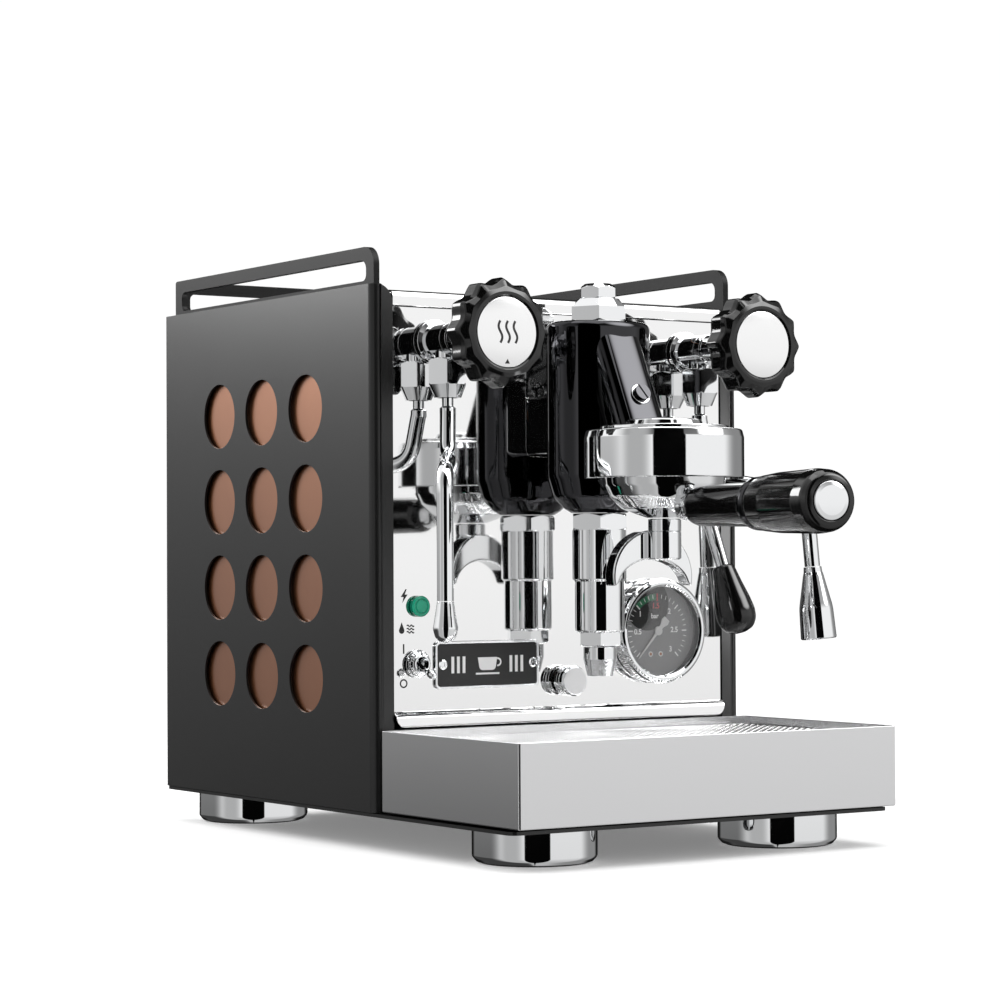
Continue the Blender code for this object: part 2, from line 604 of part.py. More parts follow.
# ---- brew group ------------------------------------------------------------------------------
def group_body(frame):
    """Cast and chromed brew group: rear column, wall flange, inclined neck, bell and cam gland."""
    a = COLUMN_HALF_X
    profile = [(0, COLUMN_TOP), (a - 6, COLUMN_TOP), (a - 1.8, COLUMN_TOP - 1.8), (a, COLUMN_TOP - 6),
               (a, COLUMN_BOTTOM + 20), (a - 5, COLUMN_BOTTOM + 9), (a - 12, COLUMN_BOTTOM + 2.5),
               (18.3, COLUMN_BOTTOM), (0, COLUMN_BOTTOM)]
    squeeze = Matrix.Scale(COLUMN_HALF_Y / COLUMN_HALF_X, 4, (0, 1, 0))
    body = add("group_body", turned(profile, 32), "chrome", frame, (0, COLUMN_Y, 0), lay=squeeze)

    ceiling = BELL_TOP - 9.5
    bell = [(0, BELL_TOP + 8), (22, BELL_TOP + 7.6), (24, BELL_TOP + 4), (38, BELL_TOP + 2.4),
            (BELL_RADIUS - 1.5, BELL_TOP), (BELL_RADIUS, BELL_TOP - 2), (BELL_RADIUS, BELL_BOTTOM + 1),
            (BELL_RADIUS - 1, BELL_BOTTOM), (BELL_BORE, BELL_BOTTOM), (BELL_BORE, BELL_BOTTOM + 2),
            (BAYONET_BORE, BELL_BOTTOM + 2), (BAYONET_BORE, BELL_BOTTOM + 9.5),
            (BELL_BORE, BELL_BOTTOM + 9.5), (BELL_BORE, ceiling), (0, ceiling)]
    join(body, add("group_bell", turned(bell, 36), "chrome", frame, (0, BELL_Y, 0)))

    fall = Vector((0, NECK_FOOT[0] - NECK_TOP[0], NECK_FOOT[1] - NECK_TOP[1]))
    section = rounded((-NECK_WIDTH / 2, NECK_WIDTH / 2), (-NECK_DEPTH / 2, NECK_DEPTH / 2), 9)
    tilt = Matrix.Rotation(math.atan2(-fall.z, -fall.y) - math.radians(90), 4, "X")
    neck = add("group_neck", plate(section, -fall.length, 0), "chrome", frame,
               (0, NECK_TOP[0], NECK_TOP[1]), lay=tilt)
    join(body, neck)

    wall = 0.6 - PANEL_Y + GAP
    stub = [(0, -8), (STUB_RADIUS, -8), (STUB_RADIUS, 1), (0, 1)]
    join(body, add("group_stub", turned(stub), "chrome", frame, (0, 0, FLANGE_Z), lay=FORWARD))
    face = rounded((-STUB_HALF_X, STUB_HALF_X), (STUB_FOOT, STUB_TOP), 8)
    join(body, add("group_block", plate(face, COLUMN_Y + 10, wall), "chrome", frame, lay=FRONT_WALL))

    hub = LEVER_HUB_X - GAP
    gland = [(0, 24), (12, 24), (12, hub - 6), (10, hub - 5.5), (10, hub), (SHAFT_RADIUS + 0.3, hub),
             (SHAFT_RADIUS + 0.3, hub - 11), (0, hub - 11)]
    join(body, add("group_gland", turned(gland, 20), "chrome", frame, (0, COLUMN_Y, SHAFT_Z), lay=SIDEWAYS))


def group_fittings(frame):
    """Cap nut, lower chamber, discharge nozzle and shower screen."""
    corner = 1 / math.cos(math.radians(30))
    start = math.radians(56.5)
    big, small = CAP_FLATS / 2 * corner, 10 * corner
    base = COLUMN_TOP + GAP
    cap = [(0, base), (big - 2, base), (big, base + 1.2), (big, base + 12.4), (big - 2.5, base + 14.2),
           (small - 0.5, base + 15), (small, base + 16), (small, base + 22.3), (small - 1.6, base + 23.5),
           (0, base + 23.5)]
    add("group_cap_nut", turned(cap, 6, start), "chrome", frame, (0, COLUMN_Y, 0))

    ring, wide, slim, foot, tip = CHAMBER_STEPS
    top = COLUMN_BOTTOM - GAP
    hex_body = [(0, top), (17.8, top), (18.6, top - 1.2), (18.6, ring + 1.2), (17.8, ring), (0, ring)]
    chamber = add("lower_chamber", turned(hex_body, 6, start), "chrome", frame, (0, COLUMN_Y, 0))
    barrel = [(0, ring + 1), (16.6, ring + 1), (16.6, wide + 1), (15.6, wide), (15.1, wide - 1),
              (15.1, slim + 1), (14, slim), (0, slim)]
    join(chamber, add("lower_chamber_barrel", turned(barrel), "chrome", frame, (0, COLUMN_Y, 0)))
    nut = [(0, slim + 1), (13.2, slim + 1), (13.8, slim - 0.8), (13.8, foot + 0.8), (12.6, foot), (0, foot)]
    join(chamber, add("lower_chamber_nut", turned(nut, 6, start), "chrome", frame, (0, COLUMN_Y, 0)))

    mouth = 5.0
    nozzle = [(mouth, foot - GAP), (10.3, foot - GAP), (10.3, foot - 8), (7.9, tip), (mouth, tip)]
    add("discharge_nozzle", turned(nozzle, 20, ring=True), "brushed_steel", frame, (0, COLUMN_Y, 0))

    ceiling = BELL_TOP - 9.5 - GAP
    screen = [(0, ceiling), (30, ceiling), (30, ceiling - 5.5), (27, ceiling - 6.2), (0, ceiling - 6.2)]
    add("shower_screen", turned(screen), "brushed_steel", frame, (0, BELL_Y, 0))


def brew_lever(frame):
    """Cam lever: shaft and bent rod, with a drop-shaped knob."""
    hinge = pivot("brew_lever_frame", (0, COLUMN_Y, SHAFT_Z), parent=frame)
    hub = LEVER_HUB_X
    shaft = [(0, hub - 10), (SHAFT_RADIUS, hub - 10), (SHAFT_RADIUS, hub), (8.5, hub), (9, hub + 1),
             (9, hub + 14), (7.5, hub + 16), (0, hub + 16)]
    arm = add("lever_arm", turned(shaft, 20), "chrome", hinge, lay=SIDEWAYS)
    route = [(x, y - COLUMN_Y, z - SHAFT_Z) for x, y, z in LEVER_ROUTE]
    join(arm, add("lever_rod", swept(bent(route, 30), LEVER_ROD_RADIUS), "chrome", hinge))

    top = Vector(route[-1])
    end = Vector((LEVER_KNOB_END[0], LEVER_KNOB_END[1] - COLUMN_Y, LEVER_KNOB_END[2] - SHAFT_Z))
    fall = end - top
    length = fall.length
    profile = [(0, GAP), (5.8, GAP), (6.9, 1.6), (8.8, 0.27 * length), (11.2, 0.52 * length),
               (12.3, 0.7 * length), (11.6, 0.84 * length), (8.4, 0.95 * length), (3.5, length), (0, length)]
    lay = fall.to_track_quat("Z", "Y").to_matrix().to_4x4()
    add("lever_knob", turned(profile, 24), "black_plastic", hinge, tuple(top), lay=lay)


# ---- portafilter -----------------------------------------------------------------------------
def portafilter(frame):
    """Filter holder with bayonet ears, basket, double spout and two-part handle."""
    lock = pivot("portafilter_frame", (0, BELL_Y, 0), -HANDLE_ANGLE, frame)
    r = BOWL_RADIUS
    inner = r - BOWL_WALL
    bowl = [(0, BOWL_FLOOR - 2), (10.5, BOWL_FLOOR - 2), (16, BOWL_FLOOR), (25, BOWL_FLOOR + 3.5),
            (r - 4, BOWL_FLOOR + 10), (r - 0.7, BOWL_FLOOR + 17), (r, BOWL_FLOOR + 22), (r, BOWL_TOP),
            (inner, BOWL_TOP), (inner, BOWL_FLOOR + 15), (24, BOWL_FLOOR + 7), (3, BOWL_FLOOR + 5),
            (0, BOWL_FLOOR + 5)]
    holder = add("portafilter_bowl", turned(bowl, 32), "chrome", lock)
    ear_low = BELL_BOTTOM + 2.6
    for side, name in ((-1, "left"), (1, "right")):
        x_range = sorted((side * (r - 2), side * (BAYONET_BORE - EAR_CLEARANCE)))
        ear = plate(rounded(x_range, (-7.5, 7.5), 0), ear_low, ear_low + 5.5)
        join(holder, add(f"portafilter_ear_{name}", ear, "chrome", lock))
    neck = [(0, r - 9.5), (8.5, r - 9.5), (6.5, r - 3.5), (8.2, r + 1), (8.6, r + 3.5), (7.6, HANDLE_START - GAP),
            (0, HANDLE_START - GAP)]
    join(holder, add("portafilter_neck", turned(neck, 20), "chrome", lock, (0, 0, HANDLE_Z), lay=FORWARD))

    basket_top = BOWL_TOP - 0.2
    floor = BOWL_FLOOR + 12.5
    wall = inner - 2.4
    rim = inner - 0.8
    basket = [(0, floor), (wall - 4.6, floor), (wall - 0.6, floor + 3), (wall, basket_top - 1.5),
              (rim, basket_top - 1.5), (rim, basket_top), (wall - 0.8, basket_top),
              (wall - 1.4, floor + 3.4), (wall - 5, floor + 0.8), (0, floor + 0.8)]
    add("filter_basket", turned(basket, 24), "brushed_steel", lock)

    spout_parts(lock)
    handle_parts(lock)


def spout_parts(lock):
    """Stem and two open arms that part the coffee stream."""
    top = BOWL_FLOOR - 2 - GAP
    stem = [(0, top), (SPOUT_RADIUS - 1, top), (SPOUT_RADIUS, top - 1), (SPOUT_RADIUS, SPOUT_BOTTOM + 1),
            (SPOUT_RADIUS - 1, SPOUT_BOTTOM), (0, SPOUT_BOTTOM)]
    spout = add("double_spout", turned(stem, 20), "chrome", lock)
    outer, inner = SPOUT_SPAN, SPOUT_SPAN - 3.5
    arch = []
    for i in range(13):
        a = math.radians(-12 + 204 * i / 12)
        arch.append((outer * math.cos(a), 1.06 * outer * math.sin(a)))
    for i in range(11):
        a = math.radians(172 - 164 * i / 10)
        arch.append((inner * math.cos(a), -6 + 0.72 * inner * math.sin(a)))
    outline = [(x - SPOUT_ARM_LEFT, z + SPOUT_BOTTOM - 10) for x, z in arch]
    back = SPOUT_ARM_BACK - SPOUT_THICKNESS / 2
    arms = plate(outline, back, back + SPOUT_THICKNESS)
    join(spout, add("double_spout_arms", arms, "chrome", lock, lay=FRONT_WALL))


def handle_parts(lock):
    """Front grip, chromed collar, rear grip and end button, turned about the handle's axis."""
    g = GRIP_FRONT_RADIUS
    front = [(0, HANDLE_START), (g - 3, HANDLE_START), (g - 0.6, HANDLE_START + 2), (g, HANDLE_START + 5),
             (g + 1.1, COLLAR_START - GAP), (0, COLLAR_START - GAP)]
    add("handle_front_grip", turned(front, 24), "black_plastic", lock, (0, 0, HANDLE_Z), lay=FORWARD)
    c = COLLAR_START
    collar = [(0, c), (g + 1.5, c), (g + 3.2, c + 2), (g + 3.4, c + 5), (g + 2.6, c + COLLAR_LENGTH),
              (0, c + COLLAR_LENGTH)]
    add("handle_collar", turned(collar, 24), "chrome", lock, (0, 0, HANDLE_Z), lay=FORWARD)
    s = c + COLLAR_LENGTH + GAP
    e = HANDLE_END
    b = GRIP_REAR_RADIUS
    rear = [(0, s), (b - 4, s), (b - 2, s + 3), (b - 0.8, s + 20), (b, e - 14), (b - 0.7, e - 6),
            (b - 3, e - 2), (b - 6.5, e - 1), (10.8, e - 1.6), (10.8, e - 3.5), (0, e - 3.5)]
    add("handle_rear_grip", turned(rear, 28), "black_plastic", lock, (0, 0, HANDLE_Z), lay=FORWARD)
    button = [(0, e - 3.5 + GAP), (10.4, e - 3.5 + GAP), (10.4, e - 1), (8, e - 0.3), (0, e)]
    add("handle_end_button", turned(button, 24), "chrome", lock, (0, 0, HANDLE_Z), lay=FORWARD)


# ---- valves and wands ------------------------------------------------------------------------
def valve(kind, side, frame):
    """Tap body, wand nut, lobed knob and its metal disc on one side."""
    x = side * VALVE_X
    wall = 0.6 - PANEL_Y + GAP
    r = VALVE_RADIUS
    body = [(0, -12), (r - 1, -12), (r - 1, -wall), (r + 3, -wall), (r + 3, 2.5), (r, 3.5), (r, 28),
            (r - 0.8, 28.5), (r - 0.8, 29.5), (r, 30), (r, VALVE_LENGTH - 6), (r + 2.3, VALVE_LENGTH - 5.5),
            (r + 2.3, VALVE_LENGTH), (STEM_RADIUS + 0.4, VALVE_LENGTH), (STEM_RADIUS + 0.4, 28), (0, 28)]
    tap = add(f"{kind}_valve_body", turned(body, 24), "chrome", frame, (x, 0, VALVE_Z), lay=FORWARD)
    low = BALL_Z + BALL_RADIUS + BOSS_GAP
    b = BALL_RADIUS + BALL_CLEARANCE / 2
    boss = [(0, low), (b, low), (b, VALVE_Z - 3), (0, VALVE_Z - 3)]
    join(tap, add(f"{kind}_valve_boss", turned(boss, 20), "chrome", frame, (x, JOINT_Y, 0)))

    corner = 1 / math.cos(math.radians(30))
    n = NUT_FLATS / 2 * corner
    bore = (BALL_RADIUS + BALL_CLEARANCE) * corner
    lip = (BALL_RADIUS - NUT_LIP) * corner
    nut = [(bore, NUT_TOP), (n - 0.8, NUT_TOP), (n, NUT_TOP - 1), (n, NUT_BOTTOM + 8),
           (BALL_RADIUS + 1, NUT_BOTTOM), (lip, NUT_BOTTOM), (lip, NUT_BOTTOM + 2.5), (bore, NUT_BOTTOM + 6)]
    shell = turned(nut, 6, math.radians(56.5), ring=True)
    add(f"{kind}_wand_nut", shell, "chrome", frame, (x, JOINT_Y, 0))

    k = KNOB_RADIUS
    d = KNOB_DISC_RADIUS
    knob = [(0, -22), (STEM_RADIUS, -22), (STEM_RADIUS, 0), (15, 0), (25, 4.5, 0.6), (k - 1.5, 8, 2.2),
            (k, 10.5, 2.6), (k, 19.5, 2.6), (k - 1.4, 22.5, 2.3), (d + 5.8, 25.2, 1.0), (d + 3, 26),
            (d + 1.4, 26), (d + 0.4, 25), (d + 0.4, 23.4), (0, 23.4)]
    profile = [point if len(point) == 3 else (*point, 0.0) for point in knob]
    turn = pivot(f"{kind}_knob_frame", (x, -KNOB_REAR, VALVE_Z), parent=frame)
    add(f"{kind}_knob", turned(profile, 4 * KNOB_LOBES, lobes=KNOB_LOBES), "black_plastic", turn, lay=FORWARD)
    disc = [(0, 23.4 + GAP), (d, 23.4 + GAP), (d, 25.2), (d * 0.6, 26.1), (0, 26.5)]
    add(f"{kind}_knob_disc", turned(disc, 32), "chrome", turn, lay=FORWARD)


def wand(kind, side, swing, arm_z, tip_z, lean, frame):
    """Ball, and bent tube with its neck; both are drawn straight ahead and then swung."""
    swivel = pivot(f"{kind}_wand_frame", (side * VALVE_X, JOINT_Y, BALL_Z), side * swing, frame)
    b = BALL_RADIUS
    turns = [math.radians(22.5 * i) for i in range(9)]
    ball = [(b * math.sin(a), b * math.cos(a)) for a in turns]
    add(f"{kind}_wand_ball", turned(ball, 16), "chrome", swivel)
    throat = NUT_BOTTOM - BALL_Z
    neck = [(0, -b - GAP), (WAND_NECK_RADIUS, -b - GAP), (WAND_NECK_RADIUS, throat - 5),
            (WAND_RADIUS, throat - 6), (WAND_RADIUS, throat - 9), (0, throat - 9)]
    tube = add(f"{kind}_wand", turned(neck, 16), "chrome", swivel)
    elbow = Vector((0, -WAND_REACH, arm_z[1] - BALL_Z))
    down = Vector((0, -lean, tip_z[1] - arm_z[1]))
    end = elbow + down * (arm_z[1] - tip_z[0]) / (arm_z[1] - tip_z[1])
    route = [(0, 0, throat - 8), (0, -6, arm_z[0] - BALL_Z), elbow, end]
    pipe = swept(bent(route, 9), WAND_RADIUS - 0.05, 14)
    join(tube, add(f"{kind}_wand_tube", pipe, "chrome", swivel))
    lay = (-down).to_track_quat("Z", "Y").to_matrix().to_4x4()
    return swivel, end + down.normalized() * GAP, lay


def wands(frame):
    """Steam wand with a drop-shaped tip, and hot-water wand with a flared nozzle."""
    swivel, end, lay = wand("steam", -1, STEAM_SWING, STEAM_ARM_Z, STEAM_TIP_Z, STEAM_LEAN, frame)
    length = STEAM_TIP_Z[0] - STEAM_TIP_Z[1] - GAP
    b = STEAM_BULB_RADIUS
    drop = [(0, 0), (WAND_RADIUS, 0), (b * 0.82, -0.35 * length), (b, -0.66 * length),
            (b * 0.83, -0.86 * length), (b * 0.45, -0.97 * length), (0, -length)]
    add("steam_tip", turned(drop, 20), "chrome", swivel, end, lay=lay)

    swivel, end, lay = wand("water", 1, WATER_SWING, WATER_ARM_Z, WATER_TIP_Z, WATER_LEAN, frame)
    length = WATER_TIP_Z[0] - WATER_TIP_Z[1] - GAP
    n = NOZZLE_RADIUS
    flare = [(3.0, 0), (5.6, 0), (5.9, -3.5), (6.4, -5), (n * 0.93, -0.56 * length), (n, -length + 1),
             (n - 0.6, -length), (n - 2, -length), (n - 2.6, -0.6 * length), (3.0, -8)]
    add("water_nozzle", turned(flare, 24, ring=True), "chrome", swivel, end, lay=lay)


# ---- instruments -----------------------------------------------------------------------------
def gauge(frame):
    """Pressure gauge: cup-shaped case with bezel, dial, glass and a needle on its spindle."""
    at = (GAUGE_X, 0, GAUGE_Z)
    wall = 0.6 - PANEL_Y + GAP
    r, depth = GAUGE_RADIUS, GAUGE_DEPTH
    case = [(0, -16), (r - 6.6, -16), (r - 6.6, -wall), (r - 1, -wall), (r - 1, 3), (r, 4), (r, depth - 3),
            (r - 1, depth - 0.8), (r - 2.4, depth), (r - 4, depth - 1.2), (r - 4, 3), (0, 3)]
    add("gauge_case", turned(case, 36), "chrome", frame, at, lay=FORWARD)
    dial = [(1.4, 3 + GAP), (r - 4.4, 3 + GAP), (r - 4.4, 4.2), (1.4, 4.2)]
    add("gauge_dial", turned(dial, 32, ring=True), "grey_dial", frame, at, lay=FORWARD)
    glass = [(0, depth - 3.4), (r - 4.4, depth - 3.4), (r - 4.4, depth - 2), (0, depth - 1.6)]
    add("gauge_glass", turned(glass, 32), "clear_glass", frame, at, lay=FORWARD)
    spin = pivot("gauge_needle_frame", at, parent=frame)
    reach = r - 9
    blade = [(-1.6, 9), (1.6, 9), (0.9, -reach + 3), (0, -reach), (-0.9, -reach + 3)]
    lean = math.radians(-42)
    turnedge = [(x * math.cos(lean) - y * math.sin(lean), x * math.sin(lean) + y * math.cos(lean))
                for x, y in blade]
    needle = add("gauge_needle", plate(turnedge, -5.8, -5.0), "black_plastic", spin, lay=FRONT_WALL)
    hub = [(0, 3 + GAP), (1.1, 3 + GAP), (1.1, 4.8), (2.4, 4.8), (2.4, 6.3), (0, 6.3)]
    join(needle, add("gauge_needle_hub", turned(hub, 12), "black_plastic", spin, lay=FORWARD))


def controls(frame):
    """Pilot light, toggle switch, name plate and drain knob on the front panel."""
    wall = 0.6 - PANEL_Y + GAP
    r = LIGHT_RADIUS
    lens = [(0, -14), (4.9, -14), (4.9, -wall), (r, -wall), (r, 2.6), (r - 0.8, 3.4), (r - 1.6, 3.6), (0, 3.9)]
    add("pilot_light", turned(lens, 24), "green_lens", frame, (LIGHT_X, 0, LIGHT_Z), lay=FORWARD)

    bush = [(0, -14), (4.9, -14), (4.9, -wall), (8.6, -wall), (8.6, 1.4), (7.4, 2), (7.2, 3.6), (5.6, 4.2),
            (5.4, 6.2), (4.3, 6.2), (3.4, -4.0), (0, -4.0)]
    add("switch_bushing", turned(bush, 24), "chrome", frame, (SWITCH_X, 0, SWITCH_Z), lay=FORWARD)
    hinge = pivot("switch_frame", (SWITCH_X, 1.0, SWITCH_Z), parent=frame)
    stick = [(0, -1.6), (1.2, -1.4), (1.5, 0), (1.5, 4), (1.7, 14), (2.7, 17), (2.8, 19), (1.8, 21.4), (0, 22)]
    down = Matrix.Rotation(math.radians(SWITCH_TILT), 4, "X") @ FORWARD
    add("switch_lever", turned(stick, 12), "chrome", hinge, lay=down)

    x_range = (PLATE_X - PLATE_WIDTH / 2, PLATE_X + PLATE_WIDTH / 2)
    z_range = (PLATE_Z - PLATE_HEIGHT / 2, PLATE_Z + PLATE_HEIGHT / 2)
    face = PANEL_Y - GAP
    add("name_plate", plate(rounded(x_range, z_range, 3), face - PLATE_THICKNESS, face), "brushed_steel",
        frame, lay=FRONT_WALL)

    spin = pivot("drain_knob_frame", (DRAIN_X, 0, DRAIN_Z), parent=frame)
    d, length = DRAIN_RADIUS, DRAIN_LENGTH
    knob = [(0, -12), (3, -12), (3, 1), (d - 1.2, 1), (d, 2), (d, 4.6), (d - 1.6, 5.4), (d - 1.6, 6.8), (d, 7.6),
            (d, length - 0.8), (d - 1, length + 0.8), (0, length + 0.8)]
    add("drain_knob", turned(knob, 24), "chrome", spin, lay=FORWARD)


# ---- inside ----------------------------------------------------------------------------------
def boiler(frame):
    """Hollow copper boiler with its heater port open at one end, and the two pipes to the group."""
    r, half, wall = BOILER_RADIUS, BOILER_LENGTH / 2, BOILER_WALL
    port = 14.0
    shell = [(0, -half), (r - 14, -half), (r - 3, -half + 6), (r, -half + 14), (r, half - 8),
             (r + 3, half - 8), (r + 3, half), (port, half), (port, half - 8), (r - wall, half - 8 - wall),
             (r - wall, 14 - half), (r - 3 - wall, 7 - half), (r - 15, wall - half), (0, wall - half)]
    add("boiler", turned(shell, 32), "copper", frame, (0, BOILER_Y, BOILER_Z), lay=SIDEWAYS)
    start = 8 + GAP
    for name, z, rise in (("thermosyphon_upper", FLANGE_Z + 12, 1), ("thermosyphon_lower", FLANGE_Z - 14, -1)):
        meet_y = BOILER_Y - 0.62 * r
        meet_z = BOILER_Z + rise * (math.sqrt(r * r - (0.62 * r) ** 2) + 6)
        route = [(0, start, z), (0, start + 14, z), (0, start + 14, meet_z + rise * 12),
                 (0, meet_y, meet_z + rise * 12), (0, meet_y, meet_z)]
        add(name, swept(bent(route, 6.5, 3), 4.0, 10), "copper", frame)


def services(frame):
    """Water tank, vibration pump and control box inside the housing."""
    tank = stepped_box((-TANK_HALF_WIDTH, TANK_HALF_WIDTH), (TANK_FRONT, TANK_REAR),
                       [(0, TANK_BOTTOM), (0, TANK_TOP), (TANK_WALL, TANK_TOP), (TANK_WALL, TANK_BOTTOM + TANK_WALL)])
    add("water_tank", tank, "tank_plastic", frame)
    x, y, z = PUMP_PLACE
    pump = [(0, -42), (9, -42), (9, -30), (21, -29), (21, 12), (14, 14), (14, 34), (6, 36), (6, 46), (0, 46)]
    body = add("pump", turned(pump, 20), "black_plastic", frame, (x, y, z), lay=FORWARD)
    cradle = stepped_box((x - 20, x + 20), (y - 8, y + 24), [(0, BASE_TOP + GAP), (0, z - 12)])
    join(body, add("pump_mount", cradle, "black_plastic", frame))
    bx, by = BOX_PLACE
    low = BASE_TOP + GAP
    box = stepped_box((bx - 42, bx + 42), (by - 34, by + 34), [(2, low), (0, low + 2), (0, low + 38), (2, low + 40)])
    add("control_box", box, "black_plastic", frame)


def footprint_centre():
    """Middle of the plan box that the wands, the handle and the rear edge reach."""
    left = -VALVE_X - (WAND_REACH + STEAM_LEAN) * math.sin(math.radians(STEAM_SWING)) - STEAM_BULB_RADIUS
    right = VALVE_X + (WAND_REACH + WATER_LEAN) * math.sin(math.radians(WATER_SWING)) + NOZZLE_RADIUS
    reach = HANDLE_END * math.cos(math.radians(HANDLE_ANGLE))
    front = BELL_Y - reach
    return (min(left, -HALF_WIDTH) + max(right, HALF_WIDTH)) / 2, (front + BODY_DEPTH) / 2


def build():
    clear_scene()
    x, y = footprint_centre()
    frame = pivot("machine_frame", (-x, -y, 0))
    for name, side in (("left", -1), ("right", 1)):
        side_panel(f"side_panel_{name}", side, frame)
        copper_insert(f"copper_insert_{name}", side, frame)
    base_plate(frame)
    feet(frame)
    front_panel(frame)
    rear_panel(frame)
    power_inlet(frame)
    top_frame(frame)
    cup_tray(frame)
    cup_rail(frame)
    drip_tray(frame)
    group_body(frame)
    group_fittings(frame)
    brew_lever(frame)
    portafilter(frame)
    valve("steam", -1, frame)
    valve("water", 1, frame)
    wands(frame)
    gauge(frame)
    controls(frame)
    boiler(frame)
    services(frame)


build()
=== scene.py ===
"""Heat-exchanger espresso machine, dressed on its working frame: steel, chrome, copper and phenolic."""
import math

import bmesh
import bpy
from mathutils import Matrix, Vector


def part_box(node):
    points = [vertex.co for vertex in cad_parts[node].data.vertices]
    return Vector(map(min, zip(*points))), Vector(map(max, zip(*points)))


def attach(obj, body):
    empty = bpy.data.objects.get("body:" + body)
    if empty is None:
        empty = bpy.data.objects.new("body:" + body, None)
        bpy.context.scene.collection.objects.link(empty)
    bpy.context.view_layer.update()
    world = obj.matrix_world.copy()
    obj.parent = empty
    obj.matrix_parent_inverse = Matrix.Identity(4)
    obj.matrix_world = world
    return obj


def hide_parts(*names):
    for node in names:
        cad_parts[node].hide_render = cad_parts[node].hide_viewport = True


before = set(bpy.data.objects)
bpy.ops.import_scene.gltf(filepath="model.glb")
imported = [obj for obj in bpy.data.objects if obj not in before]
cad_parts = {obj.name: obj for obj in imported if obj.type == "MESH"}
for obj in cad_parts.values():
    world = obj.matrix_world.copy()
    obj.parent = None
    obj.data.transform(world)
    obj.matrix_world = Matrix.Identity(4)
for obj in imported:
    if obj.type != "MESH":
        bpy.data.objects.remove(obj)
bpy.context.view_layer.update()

# ---- Studio: camera, pale floor and soft light -------------------------------------------------
# The machine stands on a white sweep in a light tent. A dark gap at the tent's open front and a
# dark flag behind are what draw the black bands in polished metal.
MM = 0.001
left_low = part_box("side_panel_left")[0]
right_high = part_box("side_panel_right")[1]
ORIGIN = Vector(((left_low[0] + right_high[0]) / 2, left_low[1], 0.0))      # front face, on the worktop


def at(x, y, z):
    """A place in the machine's own millimetres, as a point of the scene."""
    return ORIGIN + Vector((x, y, z)) * MM


def linear(hexed):
    """An sRGB hex colour as linear light."""
    values = [int(hexed[i:i + 2], 16) / 255 for i in (1, 3, 5)]
    return (*[v / 12.92 if v <= 0.04045 else ((v + 0.055) / 1.055) ** 2.4 for v in values], 1.0)


def feed(taker, inputs):
    """Set a node's inputs: a socket is linked, anything else is a plain value."""
    for key, value in inputs.items():
        if isinstance(value, bpy.types.NodeSocket):
            taker.id_data.links.new(value, taker.inputs[key])
        else:
            taker.inputs[key].default_value = value


def node(tree, kind, inputs=None, **settings):
    """Add a node with its settings, values and links."""
    made = tree.nodes.new(kind)
    for key, value in settings.items():
        setattr(made, key, value)
    feed(made, inputs or {})
    return made


YAW, PITCH, ROLL = (math.radians(a) for a in (33.489, 1.2816, -0.296))
ahead = Vector((math.sin(YAW) * math.cos(PITCH), math.cos(YAW) * math.cos(PITCH), math.sin(PITCH)))
level = Vector((math.cos(YAW), -math.sin(YAW), 0))
upright = level.cross(ahead)
across = level * math.cos(ROLL) + upright * math.sin(ROLL)
upward = upright * math.cos(ROLL) - level * math.sin(ROLL)
lens = bpy.data.cameras.new("camera")
lens.lens, lens.sensor_width = 102.70, 36.0
camera = bpy.data.objects.new("camera", lens)
camera.matrix_world = Matrix.Translation(at(-1005.5, -1448.7, 170.1)) @ Matrix(
    (across, upward, -ahead)).transposed().to_4x4()
bpy.context.collection.objects.link(camera)
bpy.context.scene.camera = camera
bpy.context.scene.view_settings.view_transform = "Standard"

world = bpy.data.worlds.new("light_tent")
world.use_nodes = True
bpy.context.scene.world = world
tent = world.node_tree
tent.nodes.clear()
aim = node(tent, "ShaderNodeTexCoord").outputs["Generated"]
flat = node(tent, "ShaderNodeVectorMath", {0: aim, 1: (1, 1, 0)}, operation="MULTIPLY")
heading = node(tent, "ShaderNodeVectorMath", {0: flat.outputs[0]}, operation="NORMALIZE").outputs[0]
height = node(tent, "ShaderNodeSeparateXYZ", {0: aim}).outputs["Z"]


def toward(degrees, inner, outer):
    """1 within inner degrees of a compass heading, falling to 0 at outer degrees."""
    a = math.radians(degrees)
    facing = node(tent, "ShaderNodeVectorMath", {0: heading, 1: (math.cos(a), math.sin(a), 0)},
                  operation="DOT_PRODUCT").outputs["Value"]
    return node(tent, "ShaderNodeMapRange", {"Value": facing, "From Min": math.cos(math.radians(outer)),
                                            "From Max": math.cos(math.radians(inner))},
                interpolation_type="SMOOTHSTEP").outputs[0]


def blended(share, under, over):
    """One colour laid over another by a share of 0 to 1."""
    return node(tent, "ShaderNodeMix", {0: share, 6: under, 7: over}, data_type="RGBA").outputs[2]


sky = node(tent, "ShaderNodeValToRGB", {0: node(tent, "ShaderNodeMapRange", {
    "Value": height, "From Min": -1.0, "From Max": 1.0}).outputs[0]})
stops = ((0.0, "#b9b9b9"), (0.44, "#e4e4e4"), (0.5, "#fbfbfb"), (0.6, "#ffffff"), (0.7, "#a0a0a0"),
         (0.78, "#565656"), (0.92, "#4a4a4a"), (1.0, "#c8c8c8"))
while len(sky.color_ramp.elements) < len(stops):
    sky.color_ramp.elements.new(0.5)
for element, (place, tone) in zip(sky.color_ramp.elements, stops):
    element.position, element.color = place, linear(tone)
shown = sky.outputs["Color"]
card = node(tent, "ShaderNodeMapRange", {"Value": height, "From Min": -0.2, "From Max": 0.3, "To Min": 0.05,
                                         "To Max": 1.05}, interpolation_type="SMOOTHSTEP").outputs[0]
shown = blended(toward(122, 24, 60), shown, card)
shown = blended(toward(8, 8, 40), shown, linear("#8e8e8e"))
shown = blended(toward(-168, 6, 26), shown, linear("#b4b4b4"))
